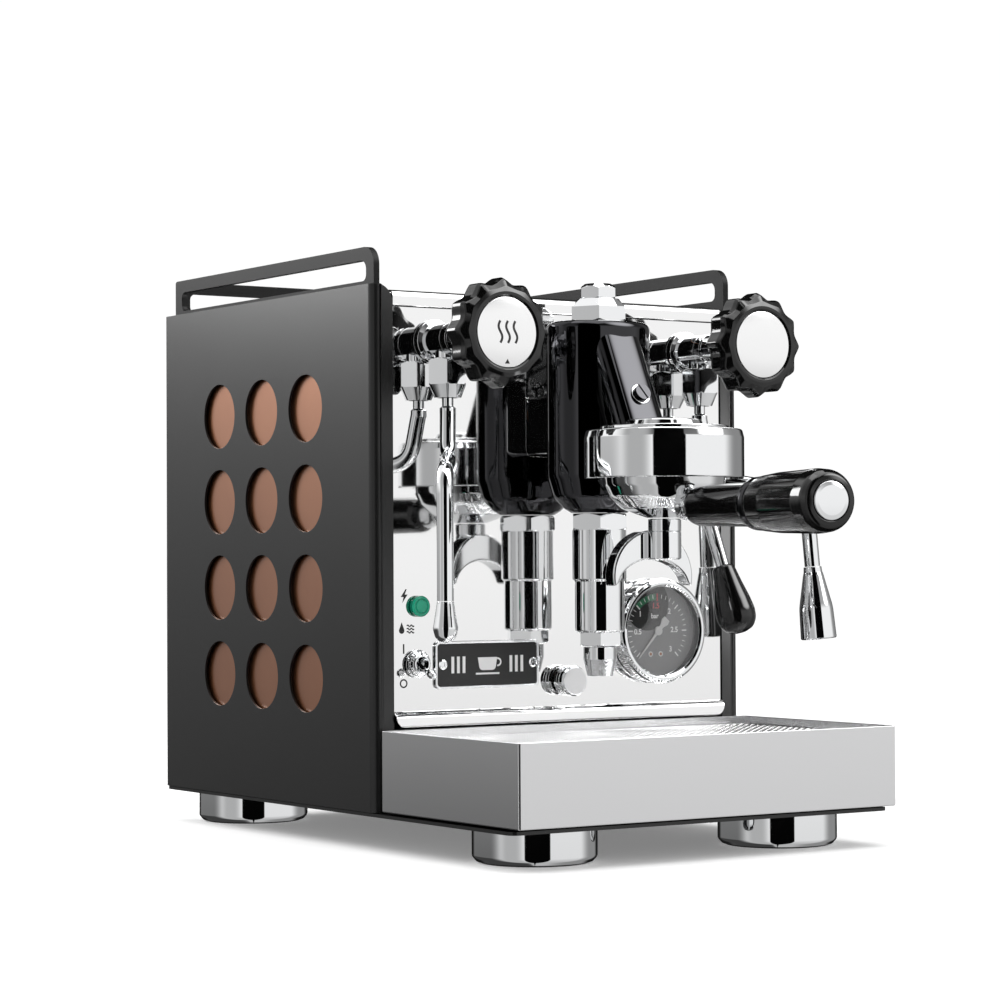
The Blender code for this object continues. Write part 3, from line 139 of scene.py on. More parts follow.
shown = blended(toward(56, 26, 40), shown, linear("#1c1c1c"))
shown = blended(toward(-119, 22.5, 24.5), shown, linear("#040404"))
lamp_way = Vector((math.cos(math.radians(-46)), math.sin(math.radians(-46)), 0.8)).normalized()
lamp_near = node(tent, "ShaderNodeVectorMath", {0: aim, 1: tuple(lamp_way)},
                 operation="DOT_PRODUCT").outputs["Value"]
lamp = node(tent, "ShaderNodeMapRange", {"Value": lamp_near, "From Min": math.cos(math.radians(26)),
                                         "From Max": math.cos(math.radians(2))},
            interpolation_type="SMOOTHSTEP")
shown = blended(lamp.outputs[0], shown, (8.0, 8.0, 8.0, 1.0))
path = node(tent, "ShaderNodeLightPath")
plain = blended(path.outputs["Is Camera Ray"], (1.0, 1.0, 1.0, 1.0), (1.02, 1.02, 1.02, 1.0))
seen = blended(path.outputs["Is Glossy Ray"], plain, shown)
light = node(tent, "ShaderNodeBackground", {"Color": seen, "Strength": 1.0})
node(tent, "ShaderNodeOutputWorld", {"Surface": light.outputs[0]})


def softbox(name, place, target, size, power):
    """A square diffuse lamp aimed at a point."""
    lamp = bpy.data.lights.new(name, "AREA")
    lamp.size, lamp.energy = size, power
    holder = bpy.data.objects.new(name, lamp)
    way = at(*target) - at(*place)
    holder.matrix_world = Matrix.Translation(at(*place)) @ way.to_track_quat("-Z", "Y").to_matrix().to_4x4()
    bpy.context.collection.objects.link(holder)
    return holder


softbox("overhead_softbox", (150, -250, 1700), (0, 0, 100), 1.5, 16)
softbox("rear_left_softbox", (-640, 1000, 700), (-137, 230, 300), 0.45, 6.5)

floor_mesh = bmesh.new()
bmesh.ops.create_circle(floor_mesh, cap_ends=True, segments=128, radius=6.0)
floor_data = bpy.data.meshes.new("floor")
floor_mesh.to_mesh(floor_data)
floor_mesh.free()
floor = bpy.data.objects.new("floor", floor_data)
bpy.context.collection.objects.link(floor)
paper = bpy.data.materials.new("white_matt_paper_sweep")
paper.use_nodes = True
paper_shader = paper.node_tree.nodes["Principled BSDF"]
grain = node(paper.node_tree, "ShaderNodeTexNoise", {"Scale": 900.0, "Detail": 3.0})
tone = node(paper.node_tree, "ShaderNodeMapRange", {"Value": grain.outputs["Fac"], "To Min": 0.84,
                                                    "To Max": 0.87})
shade = node(paper.node_tree, "ShaderNodeCombineColor", {i: tone.outputs[0] for i in range(3)})
feed(paper_shader, {"Base Color": shade.outputs[0], "Roughness": 0.9, "Specular IOR Level": 0.0,
                    "Emission Color": (1.0, 1.0, 1.0, 1.0), "Emission Strength": 0.2})
floor_data.materials.append(paper)
floor.visible_glossy = False

# ---- Side panels -------------------------------------------------------------------------------
# Two folded sheets of 1.5 mm steel, laser-cut with a grid of round windows, and powder-coated satin
# black. Their front and rear edges are folded inwards round a 5.5 mm bend.
HALF_WIDTH, DEPTH, PANEL_TOP, PANEL_FOOT = 137.0, 273.0, 337.0, 23.1
SHEET, FLANGE, FOLD = 1.5, 14.0, 5.5
WINDOW_RADIUS = 20.8
WINDOW_YS, WINDOW_ZS = (81.2, 137.4, 193.6), (266.4, 211.0, 155.6, 100.2)
FRONT_WALL = Matrix(((1, 0, 0, 0), (0, 0, 1, 0), (0, 1, 0, 0), (0, 0, 0, 1)))     # drawn in x and z
SIDE_WALL = Matrix(((0, 0, 1, 0), (1, 0, 0, 0), (0, 1, 0, 0), (0, 0, 0, 1)))      # drawn in y and z
UP = Matrix.Identity(4)
FORWARD = Matrix.Rotation(math.radians(90), 4, "X")                               # drawn along -Y
SIDEWAYS = Matrix.Rotation(math.radians(90), 4, "Y")                              # drawn along +X


def finish(name):
    """A new node material and its shader."""
    made = bpy.data.materials.new(name)
    made.use_nodes = True
    return made, made.node_tree, made.node_tree.nodes["Principled BSDF"]


def piece(name, mesh, material, body, place=(0, 0, 0), lay=UP, edge=0.0, segments=2, sharp=32,
          stands_for=()):
    """Turn a bmesh in millimetres into a piece that rides on a body of the machine."""
    bmesh.ops.transform(mesh, matrix=lay, verts=mesh.verts)
    bmesh.ops.scale(mesh, vec=(MM, MM, MM), verts=mesh.verts)
    bmesh.ops.recalc_face_normals(mesh, faces=mesh.faces)
    data = bpy.data.meshes.new(name)
    mesh.to_mesh(data)
    mesh.free()
    data.shade_smooth()
    data.set_sharp_from_angle(angle=math.radians(sharp))
    data.materials.append(material)
    made = bpy.data.objects.new(name, data)
    bpy.context.collection.objects.link(made)
    made.location = at(*place)
    if edge:
        bevel = made.modifiers.new("rounded_edges", "BEVEL")
        bevel.width, bevel.segments, bevel.limit_method = edge * MM, segments, "ANGLE"
        bevel.angle_limit = math.radians(40)
    made.modifiers.new("even_shading", "WEIGHTED_NORMAL").keep_sharp = True
    bpy.context.view_layer.update()
    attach(made, body)
    if stands_for:
        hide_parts(*stands_for)
    return made


def circle(x, y, radius, sides=64):
    """Points round a circle."""
    turns = [math.tau * i / sides for i in range(sides)]
    return [(x + radius * math.cos(a), y + radius * math.sin(a)) for a in turns]


def softened(points, steps=5, closed=False):
    """Round the corners of a line of (x, y) or (x, y, radius) points."""
    line = []
    count = len(points)
    for i, point in enumerate(points):
        radius = point[2] if len(point) > 2 else 0.0
        here = Vector(point[:2])
        if radius <= 0 or (not closed and i in (0, count - 1)):
            line.append(tuple(here))
            continue
        back = Vector(points[i - 1][:2]) - here
        on = Vector(points[(i + 1) % count][:2]) - here
        half = back.angle(on) / 2
        reach = min(radius / math.tan(half), back.length * 0.499, on.length * 0.499)
        radius = reach * math.tan(half)
        start, end = here + back.normalized() * reach, here + on.normalized() * reach
        middle = here + (back.normalized() + on.normalized()).normalized() * (radius / math.sin(half))
        a, b = start - middle, end - middle
        sweep = a.angle(b)
        for k in range(steps + 1):
            t = k / steps
            arm = (a * math.sin((1 - t) * sweep) + b * math.sin(t * sweep)) / math.sin(sweep)
            line.append(tuple(middle + arm))
    return line


def rounded(x_range, y_range, radius, steps=5):
    """A rectangle with its corners rounded."""
    (left, right), (near, far) = x_range, y_range
    corners = [(left, near, radius), (right, near, radius), (right, far, radius), (left, far, radius)]
    return softened(corners, steps, closed=True)


def slab(outline, low, high, holes=()):
    """A plate of any outline with holes."""
    mesh = bmesh.new()
    edges = []
    for loop in (outline, *holes):
        verts = [mesh.verts.new((x, y, low)) for x, y in loop]
        edges += [mesh.edges.new((vert, verts[(i + 1) % len(verts)])) for i, vert in enumerate(verts)]
    bmesh.ops.triangle_fill(mesh, use_beauty=True, use_dissolve=False, edges=edges)
    grown = bmesh.ops.extrude_face_region(mesh, geom=mesh.faces[:])
    moved = [item for item in grown["geom"] if isinstance(item, bmesh.types.BMVert)]
    bmesh.ops.translate(mesh, verts=moved, vec=(0, 0, high - low))
    return mesh


def absorb(mesh, part):
    """Add one bmesh to another."""
    scratch = bpy.data.meshes.new("scratch")
    part.to_mesh(scratch)
    part.free()
    mesh.from_mesh(scratch)
    bpy.data.meshes.remove(scratch)


def powder_coat(name, low, high, index):
    """Powder-coated steel: black, with the fine pebble that the baked powder leaves."""
    made, tree, shader = finish(name)
    where = node(tree, "ShaderNodeTexCoord").outputs["Object"]
    pebble = node(tree, "ShaderNodeTexNoise", {"Vector": where, "Scale": 1400.0, "Detail": 2.0})
    wave = node(tree, "ShaderNodeTexNoise", {"Vector": where, "Scale": 260.0, "Detail": 1.0})
    cloud = node(tree, "ShaderNodeTexNoise", {"Vector": where, "Scale": 9.0, "Detail": 2.0})
    bump = node(tree, "ShaderNodeBump", {"Strength": 0.18, "Distance": 0.00006,
                                         "Height": pebble.outputs["Fac"]})
    bump = node(tree, "ShaderNodeBump", {"Strength": 0.25, "Distance": 0.00003, "Height": wave.outputs["Fac"],
                                         "Normal": bump.outputs[0]})
    rough = node(tree, "ShaderNodeMapRange", {"Value": cloud.outputs["Fac"], "To Min": low, "To Max": high})
    dusk = node(tree, "ShaderNodeMix", {0: pebble.outputs["Fac"], 6: linear("#0b0b0b"), 7: linear("#121212")},
                data_type="RGBA")
    feed(shader, {"Base Color": dusk.outputs[2], "Roughness": rough.outputs[0], "Normal": bump.outputs[0],
                  "IOR": index})
    return made


BLACK_STEEL = powder_coat("satin_black_powder_coat_on_steel", 0.30, 0.37, 1.52)


def folded_side(side):
    """The sheet as a surface: front flange, bend, windowed side, bend and rear flange."""
    mesh = bmesh.new()
    columns = []
    corner = 11.0
    for i in range(9):
        u = corner * (1 - math.cos(math.radians(90 * i / 8)))
        drop = corner - corner * math.sin(math.radians(90 * i / 8))
        columns.append((FLANGE - u, 0.0, PANEL_TOP - drop))
    bend = [(FOLD - FOLD * math.sin(math.radians(9 * i)), FOLD - FOLD * math.cos(math.radians(9 * i)))
            for i in range(11)]
    front = columns[:-1] + [(x, y, PANEL_TOP) for x, y in bend]
    rear = [(x, DEPTH - y, PANEL_TOP) for x, y in reversed(bend)] + [(FLANGE, DEPTH, PANEL_TOP)]
    strips = []
    for line in (front, rear):
        pairs = [[mesh.verts.new((side * (HALF_WIDTH - x), y, z)) for z in (PANEL_FOOT, top)]
                 for x, y, top in line]
        for a, b in zip(pairs, pairs[1:]):
            mesh.faces.new((a[0], b[0], b[1], a[1]))
        strips.append(pairs)
    near, far = strips[0][-1], strips[1][0]
    x = side * HALF_WIDTH
    border = [near[0], far[0], far[1], near[1]]
    edges = [mesh.edges.get((near[0], near[1])), mesh.edges.get((far[0], far[1]))]
    edges += [mesh.edges.new((border[0], border[1])), mesh.edges.new((border[2], border[3]))]
    for y in WINDOW_YS:
        for z in WINDOW_ZS:
            ring = [mesh.verts.new((x, v, w)) for v, w in circle(y, z, WINDOW_RADIUS, 72)]
            edges += [mesh.edges.new((v, ring[(i + 1) % 72])) for i, v in enumerate(ring)]
    bmesh.ops.triangle_fill(mesh, use_beauty=True, use_dissolve=False, edges=edges)
    return mesh


for name, side in (("left", -1), ("right", 1)):
    panel = piece(f"side_skin_{name}", folded_side(side), BLACK_STEEL, "housing",
                  stands_for=(f"side_panel_{name}",))
    thick = panel.modifiers.new("sheet", "SOLIDIFY")
    thick.thickness, thick.offset = SHEET * MM, -1.0
    trim = panel.modifiers.new("broken_edges", "BEVEL")
    trim.width, trim.segments, trim.limit_method = 0.25 * MM, 2, "ANGLE"
    trim.angle_limit = math.radians(50)
    panel.modifiers.move(0, 2)

# ---- Copper inserts ----------------------------------------------------------------------------
# Thin copper sheets behind the windows, with a matt lacquer over a fine vertical grain. The boiler
# and its pipes inside are of the same copper.


def lacquered_copper():
    """Brushed copper under clear matt lacquer: warm, soft highlights drawn out along the grain."""
    made, tree, shader = finish("matt_lacquered_brushed_copper")
    where = node(tree, "ShaderNodeTexCoord").outputs["Object"]
    fine = node(tree, "ShaderNodeMapping", {"Vector": where, "Scale": (1.0, 3200.0, 40.0)})
    grain = node(tree, "ShaderNodeTexNoise", {"Vector": fine.outputs[0], "Scale": 1.0, "Detail": 3.0})
    stain = node(tree, "ShaderNodeTexNoise", {"Vector": where, "Scale": 24.0, "Detail": 3.0})
    base = node(tree, "ShaderNodeMix", {0: stain.outputs["Fac"], 6: linear("#97603f"), 7: linear("#a46c49")},
                data_type="RGBA")
    rough = node(tree, "ShaderNodeMapRange", {"Value": grain.outputs["Fac"], "To Min": 0.36, "To Max": 0.46})
    bump = node(tree, "ShaderNodeBump", {"Strength": 0.12, "Distance": 0.00002,
                                         "Height": grain.outputs["Fac"]})
    feed(shader, {"Base Color": base.outputs[2], "Roughness": rough.outputs[0], "Normal": bump.outputs[0],
                  "Metallic": 1.0, "Coat Weight": 1.0, "Coat Roughness": 0.22, "Coat IOR": 1.65})
    return made


COPPER = lacquered_copper()


def dress(material, *names):
    """Give CAD nodes a finish."""
    for name in names:
        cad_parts[name].data.materials.clear()
        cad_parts[name].data.materials.append(material)


dress(COPPER, "copper_insert_left", "copper_insert_right", "boiler", "thermosyphon_upper",
      "thermosyphon_lower")

# ---- Base plate and feet -----------------------------------------------------------------------
# A black steel floor plate, and four turned steel feet, chromed, each on a thin rubber pad. The front
# pair stands under the drip tray, the rear pair under the back of the housing.
dress(BLACK_STEEL, "base_plate")


def lathe(profile, sides=96, ring=False, steps=5, squeeze=1.0):
    """Turn a profile of (radius, height) or (radius, height, fillet) points about its axis."""
    line = softened(profile, steps, closed=ring)
    mesh = bmesh.new()
    rows = []
    for radius, rise in line:
        if radius < 1e-5:
            rows.append([mesh.verts.new((0, 0, rise))])
            continue
        rows.append([mesh.verts.new((radius * math.cos(a), squeeze * radius * math.sin(a), rise))
                     for a in [math.tau * i / sides for i in range(sides)]])
    pairs = list(zip(rows, rows[1:])) + ([(rows[-1], rows[0])] if ring else [])
    for low, high in pairs:
        for i in range(sides):
            j = (i + 1) % sides
            corners = (low[i % len(low)], low[j % len(low)], high[j % len(high)], high[i % len(high)])
            corners = list(dict.fromkeys(corners))
            if len(corners) > 2:
                mesh.faces.new(corners)
    return mesh


def worn(name, tone, haze, window, rough, ripple, strength, distance, settings):
    """A polished surface. Noise of (scale, detail) lays patches of haze and a faint ripple over it."""
    made, tree, shader = finish(name)
    where = node(tree, "ShaderNodeTexCoord").outputs["Object"]
    patches = node(tree, "ShaderNodeTexNoise", {"Vector": where, "Scale": haze[0], "Detail": haze[1]})
    waves = node(tree, "ShaderNodeTexNoise", {"Vector": where, "Scale": ripple[0], "Detail": ripple[1]})
    gloss = node(tree, "ShaderNodeMapRange", {"Value": patches.outputs["Fac"], "From Min": window[0],
                                             "From Max": window[1], "To Min": rough[0], "To Max": rough[1]})
    bump = node(tree, "ShaderNodeBump", {"Strength": strength, "Distance": distance,
                                         "Height": waves.outputs["Fac"]})
    feed(shader, {"Base Color": linear(tone), "Roughness": gloss.outputs[0], "Normal": bump.outputs[0],
                  **settings})
    return made


def polished_chrome(name="bright_chrome_plate", tone="#eff0f1"):
    """Chromium plate on brass: a cold mirror, very faintly hazed by handling, or a copy of it with a dark
    tone that paints in dark reflections.
    """
    return worn(name, tone, (55.0, 4.0), (0.4, 0.75), (0.025, 0.06), (140.0, 2.0), 0.05, 0.00004,
                {"Metallic": 1.0})


def moulded_rubber():
    """Black rubber, moulded: matt, with a fine even tooth."""
    made, tree, shader = finish("moulded_black_rubber")
    tooth = node(tree, "ShaderNodeTexNoise", {"Scale": 1800.0, "Detail": 2.0})
    bump = node(tree, "ShaderNodeBump", {"Strength": 0.3, "Distance": 0.00005,
                                         "Height": tooth.outputs["Fac"]})
    feed(shader, {"Normal": bump.outputs[0], "Base Color": linear("#1a1a1a"), "Roughness": 0.75})
    return made


def turned(name, profile, place, lay=UP, sides=96, material=None, body="housing", ring=False,
           steps=5, squeeze=1.0, sharp=32, stands_for=()):
    """A piece turned on the lathe: of bright chrome and on the housing, unless told otherwise."""
    mesh = lathe(profile, sides, ring, steps, squeeze)
    return piece(name, mesh, material or CHROME, body, place, lay, sharp=sharp, stands_for=stands_for)


CHROME = polished_chrome()
# A copy of the chrome with a dark base colour: painted dark reflection, standing in for the dark surroundings
# that the column, neck, neck screw and collar mirror.
PAINTED_DARK_REFLECTION_CHROME = polished_chrome("chrome_with_painted_dark_reflection", "#3c3c3e")
RUBBER = moulded_rubber()
FOOT_RADIUS, FOOT_TOP = 36.0, 20.5
for depth, y in (("front", -97.0), ("rear", 237.6)):
    for side, x in (("left", -88.7), ("right", 88.7)):
        cup = [(0, 1.2), (31.5, 1.2), (31.5, 0.9), (FOOT_RADIUS - 2.4, 0.9, 0.5), (FOOT_RADIUS, 3.6, 3.0),
               (FOOT_RADIUS, FOOT_TOP, 1.0), (0, FOOT_TOP)]
        turned(f"foot_cup_{depth}_{side}", cup, (x, y, 0), sides=128, stands_for=(f"foot_{depth}_{side}",))
        pad = [(0, 0), (31.2, 0, 0.4), (31.2, 1.15), (0, 1.15)]
        turned(f"foot_pad_{depth}_{side}", pad, (x, y, 0), sides=64, material=RUBBER)

# ---- Front panel -------------------------------------------------------------------------------
# One sheet of stainless steel, mirror-polished, with its bottom edge folded forward over the tray.
# Round holes let through the brew group, the taps, the gauge and the small items.


def mirror_steel():
    """Mirror-polished stainless steel: almost a looking glass, with the faint waviness of sheet."""
    return worn("mirror_polished_stainless_steel", "#f4f4f4", (36.0, 5.0), (0.4, 0.8), (0.03, 0.06),
                (14.0, 1.0), 0.06, 0.0003, {"Metallic": 1.0})


def satin_steel(name="satin_brushed_stainless_steel", tone="#dcdcdd", low=0.2, high=0.27):
    """Satin stainless steel, brushed along its length: soft, level reflections."""
    made, tree, shader = finish(name)
    where = node(tree, "ShaderNodeTexCoord").outputs["Object"]
    stretch = node(tree, "ShaderNodeMapping", {"Vector": where, "Scale": (30.0, 30.0, 2600.0)})
    grain = node(tree, "ShaderNodeTexNoise", {"Vector": stretch.outputs[0], "Scale": 1.0, "Detail": 3.0})
    cloud = node(tree, "ShaderNodeTexNoise", {"Vector": where, "Scale": 8.0, "Detail": 2.0})
    rough = node(tree, "ShaderNodeMapRange", {"Value": cloud.outputs["Fac"], "To Min": low, "To Max": high})
    bump = node(tree, "ShaderNodeBump", {"Strength": 0.06, "Distance": 0.00002,
                                         "Height": grain.outputs["Fac"]})
    feed(shader, {"Roughness": rough.outputs[0], "Normal": bump.outputs[0], "Base Color": linear(tone),
                  "Metallic": 1.0})
    return made


MIRROR = mirror_steel()
SATIN = satin_steel()
FINE_SATIN = satin_steel("fine_turned_stainless_steel", "#f6f6f6", 0.09, 0.14)
FRONT_HALF, FRONT_FACE, LIP_FOOT, LIP_TOP, FRONT_TOP = 122.7, 1.0, 72.6, 81.6, 323.8
GROUP_Z, VALVE_X, VALVE_Z, WHEEL_Y, BALL_Z = 262.0, 94.3, 303.9, -54.5, 280.0
GAUGE_X, GAUGE_Z = 68.5, 127.5
LIGHT_X, LIGHT_Z, SWITCH_X, SWITCH_Z = -105.5, 145.0, -106.8, 110.6
DRAIN_X, DRAIN_Z = 0.0, 98.0
outline = [(-FRONT_HALF, LIP_TOP), (FRONT_HALF, LIP_TOP), (FRONT_HALF, FRONT_TOP), (-FRONT_HALF, FRONT_TOP)]
cuts = [circle(0, GROUP_Z, 26), circle(GAUGE_X, GAUGE_Z, 27), circle(DRAIN_X, DRAIN_Z, 3.5, 32)]
cuts += [circle(side * VALVE_X, VALVE_Z, 9.3, 48) for side in (-1, 1)]
cuts += [circle(x, z, 5.3, 32) for x, z in ((LIGHT_X, LIGHT_Z), (SWITCH_X, SWITCH_Z))]
piece("front_sheet", slab(outline, FRONT_FACE, FRONT_FACE + SHEET, cuts), MIRROR, "housing",
      lay=FRONT_WALL, stands_for=("front_panel",))


def front_lip():
    """The folded bottom edge: a strip that leans forward, with round lower corners."""
    mesh = bmesh.new()
    rows = []
    reach = LIP_TOP - LIP_FOOT
    for k in range(13):
        t = k / 12
        z = LIP_TOP - reach * t
        y = FRONT_FACE - 1.25 * (1 - math.cos(min(t * 3.6, 1) * math.pi)) - 0.3 * t
        inset = 7.0 - math.sqrt(max(49.0 - max(7.0 - (z - LIP_FOOT), 0) ** 2, 0))
        half = FRONT_HALF - inset
        rows.append([mesh.verts.new((x, y, z)) for x in (-half, half)])
    for a, b in zip(rows, rows[1:]):
        mesh.faces.new((a[0], a[1], b[1], b[0]))
    return mesh


lip = piece("front_sheet_lip", front_lip(), MIRROR, "housing")
lip.modifiers.new("sheet", "SOLIDIFY").thickness = -1.2 * MM
lip.modifiers.move(0, 1)

# ---- Deck, cup tray and rail -------------------------------------------------------------------
# A polished deck with a rounded nose over the front panel, a loose perforated tray for warming cups,
# and a slotted rail of 4 mm plate with a broken edge, powder-coated black.
DECK_TOP, DECK_THICK = 332.3, 1.6
NOSE_DEPTH, NOSE_HEIGHT = 16.0, 9.6
deck_half = HALF_WIDTH - SHEET - 0.3
outline = rounded((-deck_half, deck_half), (1.8, 271.2), 5.5)
mouth = rounded((-113.9, 113.9), (21, 250), 8)
piece("deck", slab(outline, DECK_TOP - DECK_THICK, DECK_TOP, [mouth]), MIRROR, "housing",
      edge=0.3, stands_for=("top_frame",))
nose_top = DECK_TOP + 1.7
section = softened([(0.2, nose_top - NOSE_HEIGHT, 0.4), (0.2, nose_top, 4.2), (NOSE_DEPTH, nose_top, 0.6),
                    (NOSE_DEPTH, nose_top - 1.6), (4.6, nose_top - 1.6, 3.0), (1.7, nose_top - 4.4),
                    (1.7, nose_top - NOSE_HEIGHT)], 8, closed=True)
piece("deck_nose", slab(section, -FRONT_HALF, FRONT_HALF), MIRROR, "housing", lay=SIDE_WALL,
      sharp=40)

slots = []
for column in range(9):
    for row in range(9):
        x, y = (column - 4) * 24.6, 46 + row * 23.2
        slots.append(rounded((x - 8, x + 8), (y - 2.2, y + 2.2), 2.1, 3))
outline = rounded((-119.4, 119.4), (17.3, 256.7), 8)
piece("cup_plate", slab(outline, DECK_TOP + 0.3, DECK_TOP + 1.6, slots), MIRROR, "cup_tray",
      edge=0.3, stands_for=("cup_tray",))

RAIL_BLACK = powder_coat("matt_black_powder_coat_on_steel", 0.42, 0.5, 1.25)
RAIL_OUTER, RAIL_THICK, RAIL_FRONT, RAIL_REAR, RAIL_TOP = 133.4, 4.0, 4.3, 262.0, 360.0
SLOT_LOW, SLOT_HIGH, POST = 339.6, 352.0, 9.0
profile = softened([(RAIL_FRONT, DECK_TOP + 0.3), (RAIL_REAR, DECK_TOP + 0.3), (RAIL_REAR, RAIL_TOP, 2.0),
                    (RAIL_FRONT, RAIL_TOP, 11.0)], 8, closed=True)
window = softened([(RAIL_FRONT + POST, SLOT_LOW, 4), (RAIL_REAR - POST, SLOT_LOW, 4),
                   (RAIL_REAR - POST, SLOT_HIGH, 4), (RAIL_FRONT + POST, SLOT_HIGH, 5.5)], 6, closed=True)
for name, low in (("left", -RAIL_OUTER), ("right", RAIL_OUTER - RAIL_THICK)):
    piece(f"rail_{name}", slab(profile, low, low + RAIL_THICK, [window]), RAIL_BLACK, "housing",
          lay=SIDE_WALL, edge=0.45, stands_for=("cup_rail",) if name == "left" else ())
inner = RAIL_OUTER - RAIL_THICK
profile = [(-inner, DECK_TOP + 0.5), (inner, DECK_TOP + 0.5), (inner, RAIL_TOP - 0.1),
           (-inner, RAIL_TOP - 0.1)]
window = rounded((-inner + 5, inner - 5), (SLOT_LOW, SLOT_HIGH), 4, 6)
piece("rail_rear", slab(profile, RAIL_REAR - RAIL_THICK, RAIL_REAR - 0.1, [window]), RAIL_BLACK, "housing",
      lay=FRONT_WALL, edge=0.45)

# ---- Rear panel and inlet ----------------------------------------------------------------------
# A black sheet with rows of cooling slots, held by six small screws. An opening low down on the
# machine's left takes the moulded mains inlet.
BACK = DEPTH - SHEET - 0.5
slots = [rounded((-93.9, -66.1), (50.1, 70.9), 1, 3)]
for column in range(4):
    for row in range(9):
        x, z = (column - 1.5) * 52, 236 + row * 8.5
        slots.append(rounded((x - 19, x + 19), (z - 1.6, z + 1.6), 1.5, 3))
outline = rounded((-122.4, 122.4), (23.1, 330.2), 3)
piece("rear_sheet", slab(outline, BACK - SHEET, BACK, slots), BLACK_STEEL, "housing",
      lay=FRONT_WALL, edge=0.2, stands_for=("rear_panel",))


def screw_head(radius, rise):
    """Domed screw head with a hexagon socket."""
    mesh = lathe([(0, 0), (radius, 0), (radius, rise * 0.45), (radius * 0.72, rise, radius * 0.5),
                  (radius * 0.42, rise)], 32)
    rim = [v for v in mesh.verts if abs(v.co.z - rise) < 1e-4 and v.co.xy.length < radius * 0.45]
    rim.sort(key=lambda v: math.atan2(v.co.y, v.co.x))
    socket = [mesh.verts.new((x, y, rise * 0.35)) for x, y in circle(0, 0, radius * 0.42, 6)]
    lower = [mesh.verts.new((x, y, rise)) for x, y in circle(0, 0, radius * 0.42, 6)]
    for i in range(6):
        j = (i + 1) % 6
        mesh.faces.new((socket[i], socket[j], lower[j], lower[i]))
    mesh.faces.new(socket)
    for i in range(6):
        span = [v for v in rim if i <= (math.atan2(v.co.y,
                                                   v.co.x) % math.tau) / (math.tau / 6) < i + 1 + 1e-6]
        span.sort(key=lambda v: math.atan2(v.co.y, v.co.x) % math.tau)
        ring = [lower[i], *span, lower[(i + 1) % 6]]
        if len(ring) > 2:
            mesh.faces.new(ring)
    bmesh.ops.remove_doubles(mesh, verts=mesh.verts, dist=1e-4)
    return mesh


BACKWARD = Matrix.Rotation(math.radians(-90), 4, "X")
for i, (x, z) in enumerate([(x, z) for z in (32, 176, 321) for x in (-115, 115)]):
    piece(f"rear_screw_{i}", screw_head(3.2, 1.0), CHROME, "housing", (x, BACK + 0.02, z),
          lay=BACKWARD)

# ---- Drip tray and grate -----------------------------------------------------------------------
# A deep tray folded from satin stainless steel with open mitres at its front corners, and a polished
# perforated grate that rests on an inner ledge.
TRAY_HALF, TRAY_FRONT, TRAY_BACK, TRAY_FOOT, TRAY_RIM = 136.0, -152.0, -7.0, 24.2, 72.1


def tray_ring(inset, z, mitre=0.0, corner=0.6):
    """One level of the tray: a rectangle whose front corners can be notched."""
    x, near, far = TRAY_HALF - inset, TRAY_FRONT + inset, TRAY_BACK - inset
    if mitre:
        corners = [(-x, near + mitre), (-x + mitre, near + mitre), (-x + mitre, near),
                   (x - mitre, near), (x - mitre, near + mitre), (x, near + mitre)]
    else:
        corners = [(-x, near + corner), (-x + corner * 0.3, near + corner * 0.3), (-x + corner, near),
                   (x - corner, near), (x - corner * 0.3, near + corner * 0.3), (x, near + corner)]
    corners += [(x, far - corner), (x - corner * 0.3, far - corner * 0.3), (x - corner, far),
                (-x + corner, far), (-x + corner * 0.3, far - corner * 0.3), (-x, far - corner)]
    return [(a, b, z) for a, b in corners]


def stacked(rings):
    """Skin a stack of rings, closed at both ends."""
    mesh = bmesh.new()
    rows = [[mesh.verts.new(point) for point in ring] for ring in rings]
    for low, high in zip(rows, rows[1:]):
        for i in range(len(low)):
            j = (i + 1) % len(low)
            mesh.faces.new((low[i], low[j], high[j], high[i]))
    mesh.faces.new(rows[0])
    mesh.faces.new(rows[-1])
    return mesh


levels = [tray_ring(0.8, TRAY_FOOT), tray_ring(0.25, TRAY_FOOT + 0.2, 1.0),
          tray_ring(0, TRAY_FOOT + 0.8, 1.0), tray_ring(0, TRAY_RIM - 0.5, 1.0),
          tray_ring(0.15, TRAY_RIM - 0.15, 1.0), tray_ring(0.5, TRAY_RIM, 0.7), tray_ring(1.2, TRAY_RIM),
          tray_ring(1.5, TRAY_RIM - 0.3), tray_ring(1.5, 66.4), tray_ring(1.8, 66.05), tray_ring(5, 66.0),
          tray_ring(5, 28), tray_ring(7, 25.7, corner=2.5)]
piece("tray_pan", stacked(levels), SATIN, "tray", sharp=28, stands_for=("drip_tray",))

GRATE_TOP, GRATE_THICK, GRATE_HALF, GRATE_FRONT, GRATE_BACK = 67.45, 1.15, 133.9, -149.9, -9.1


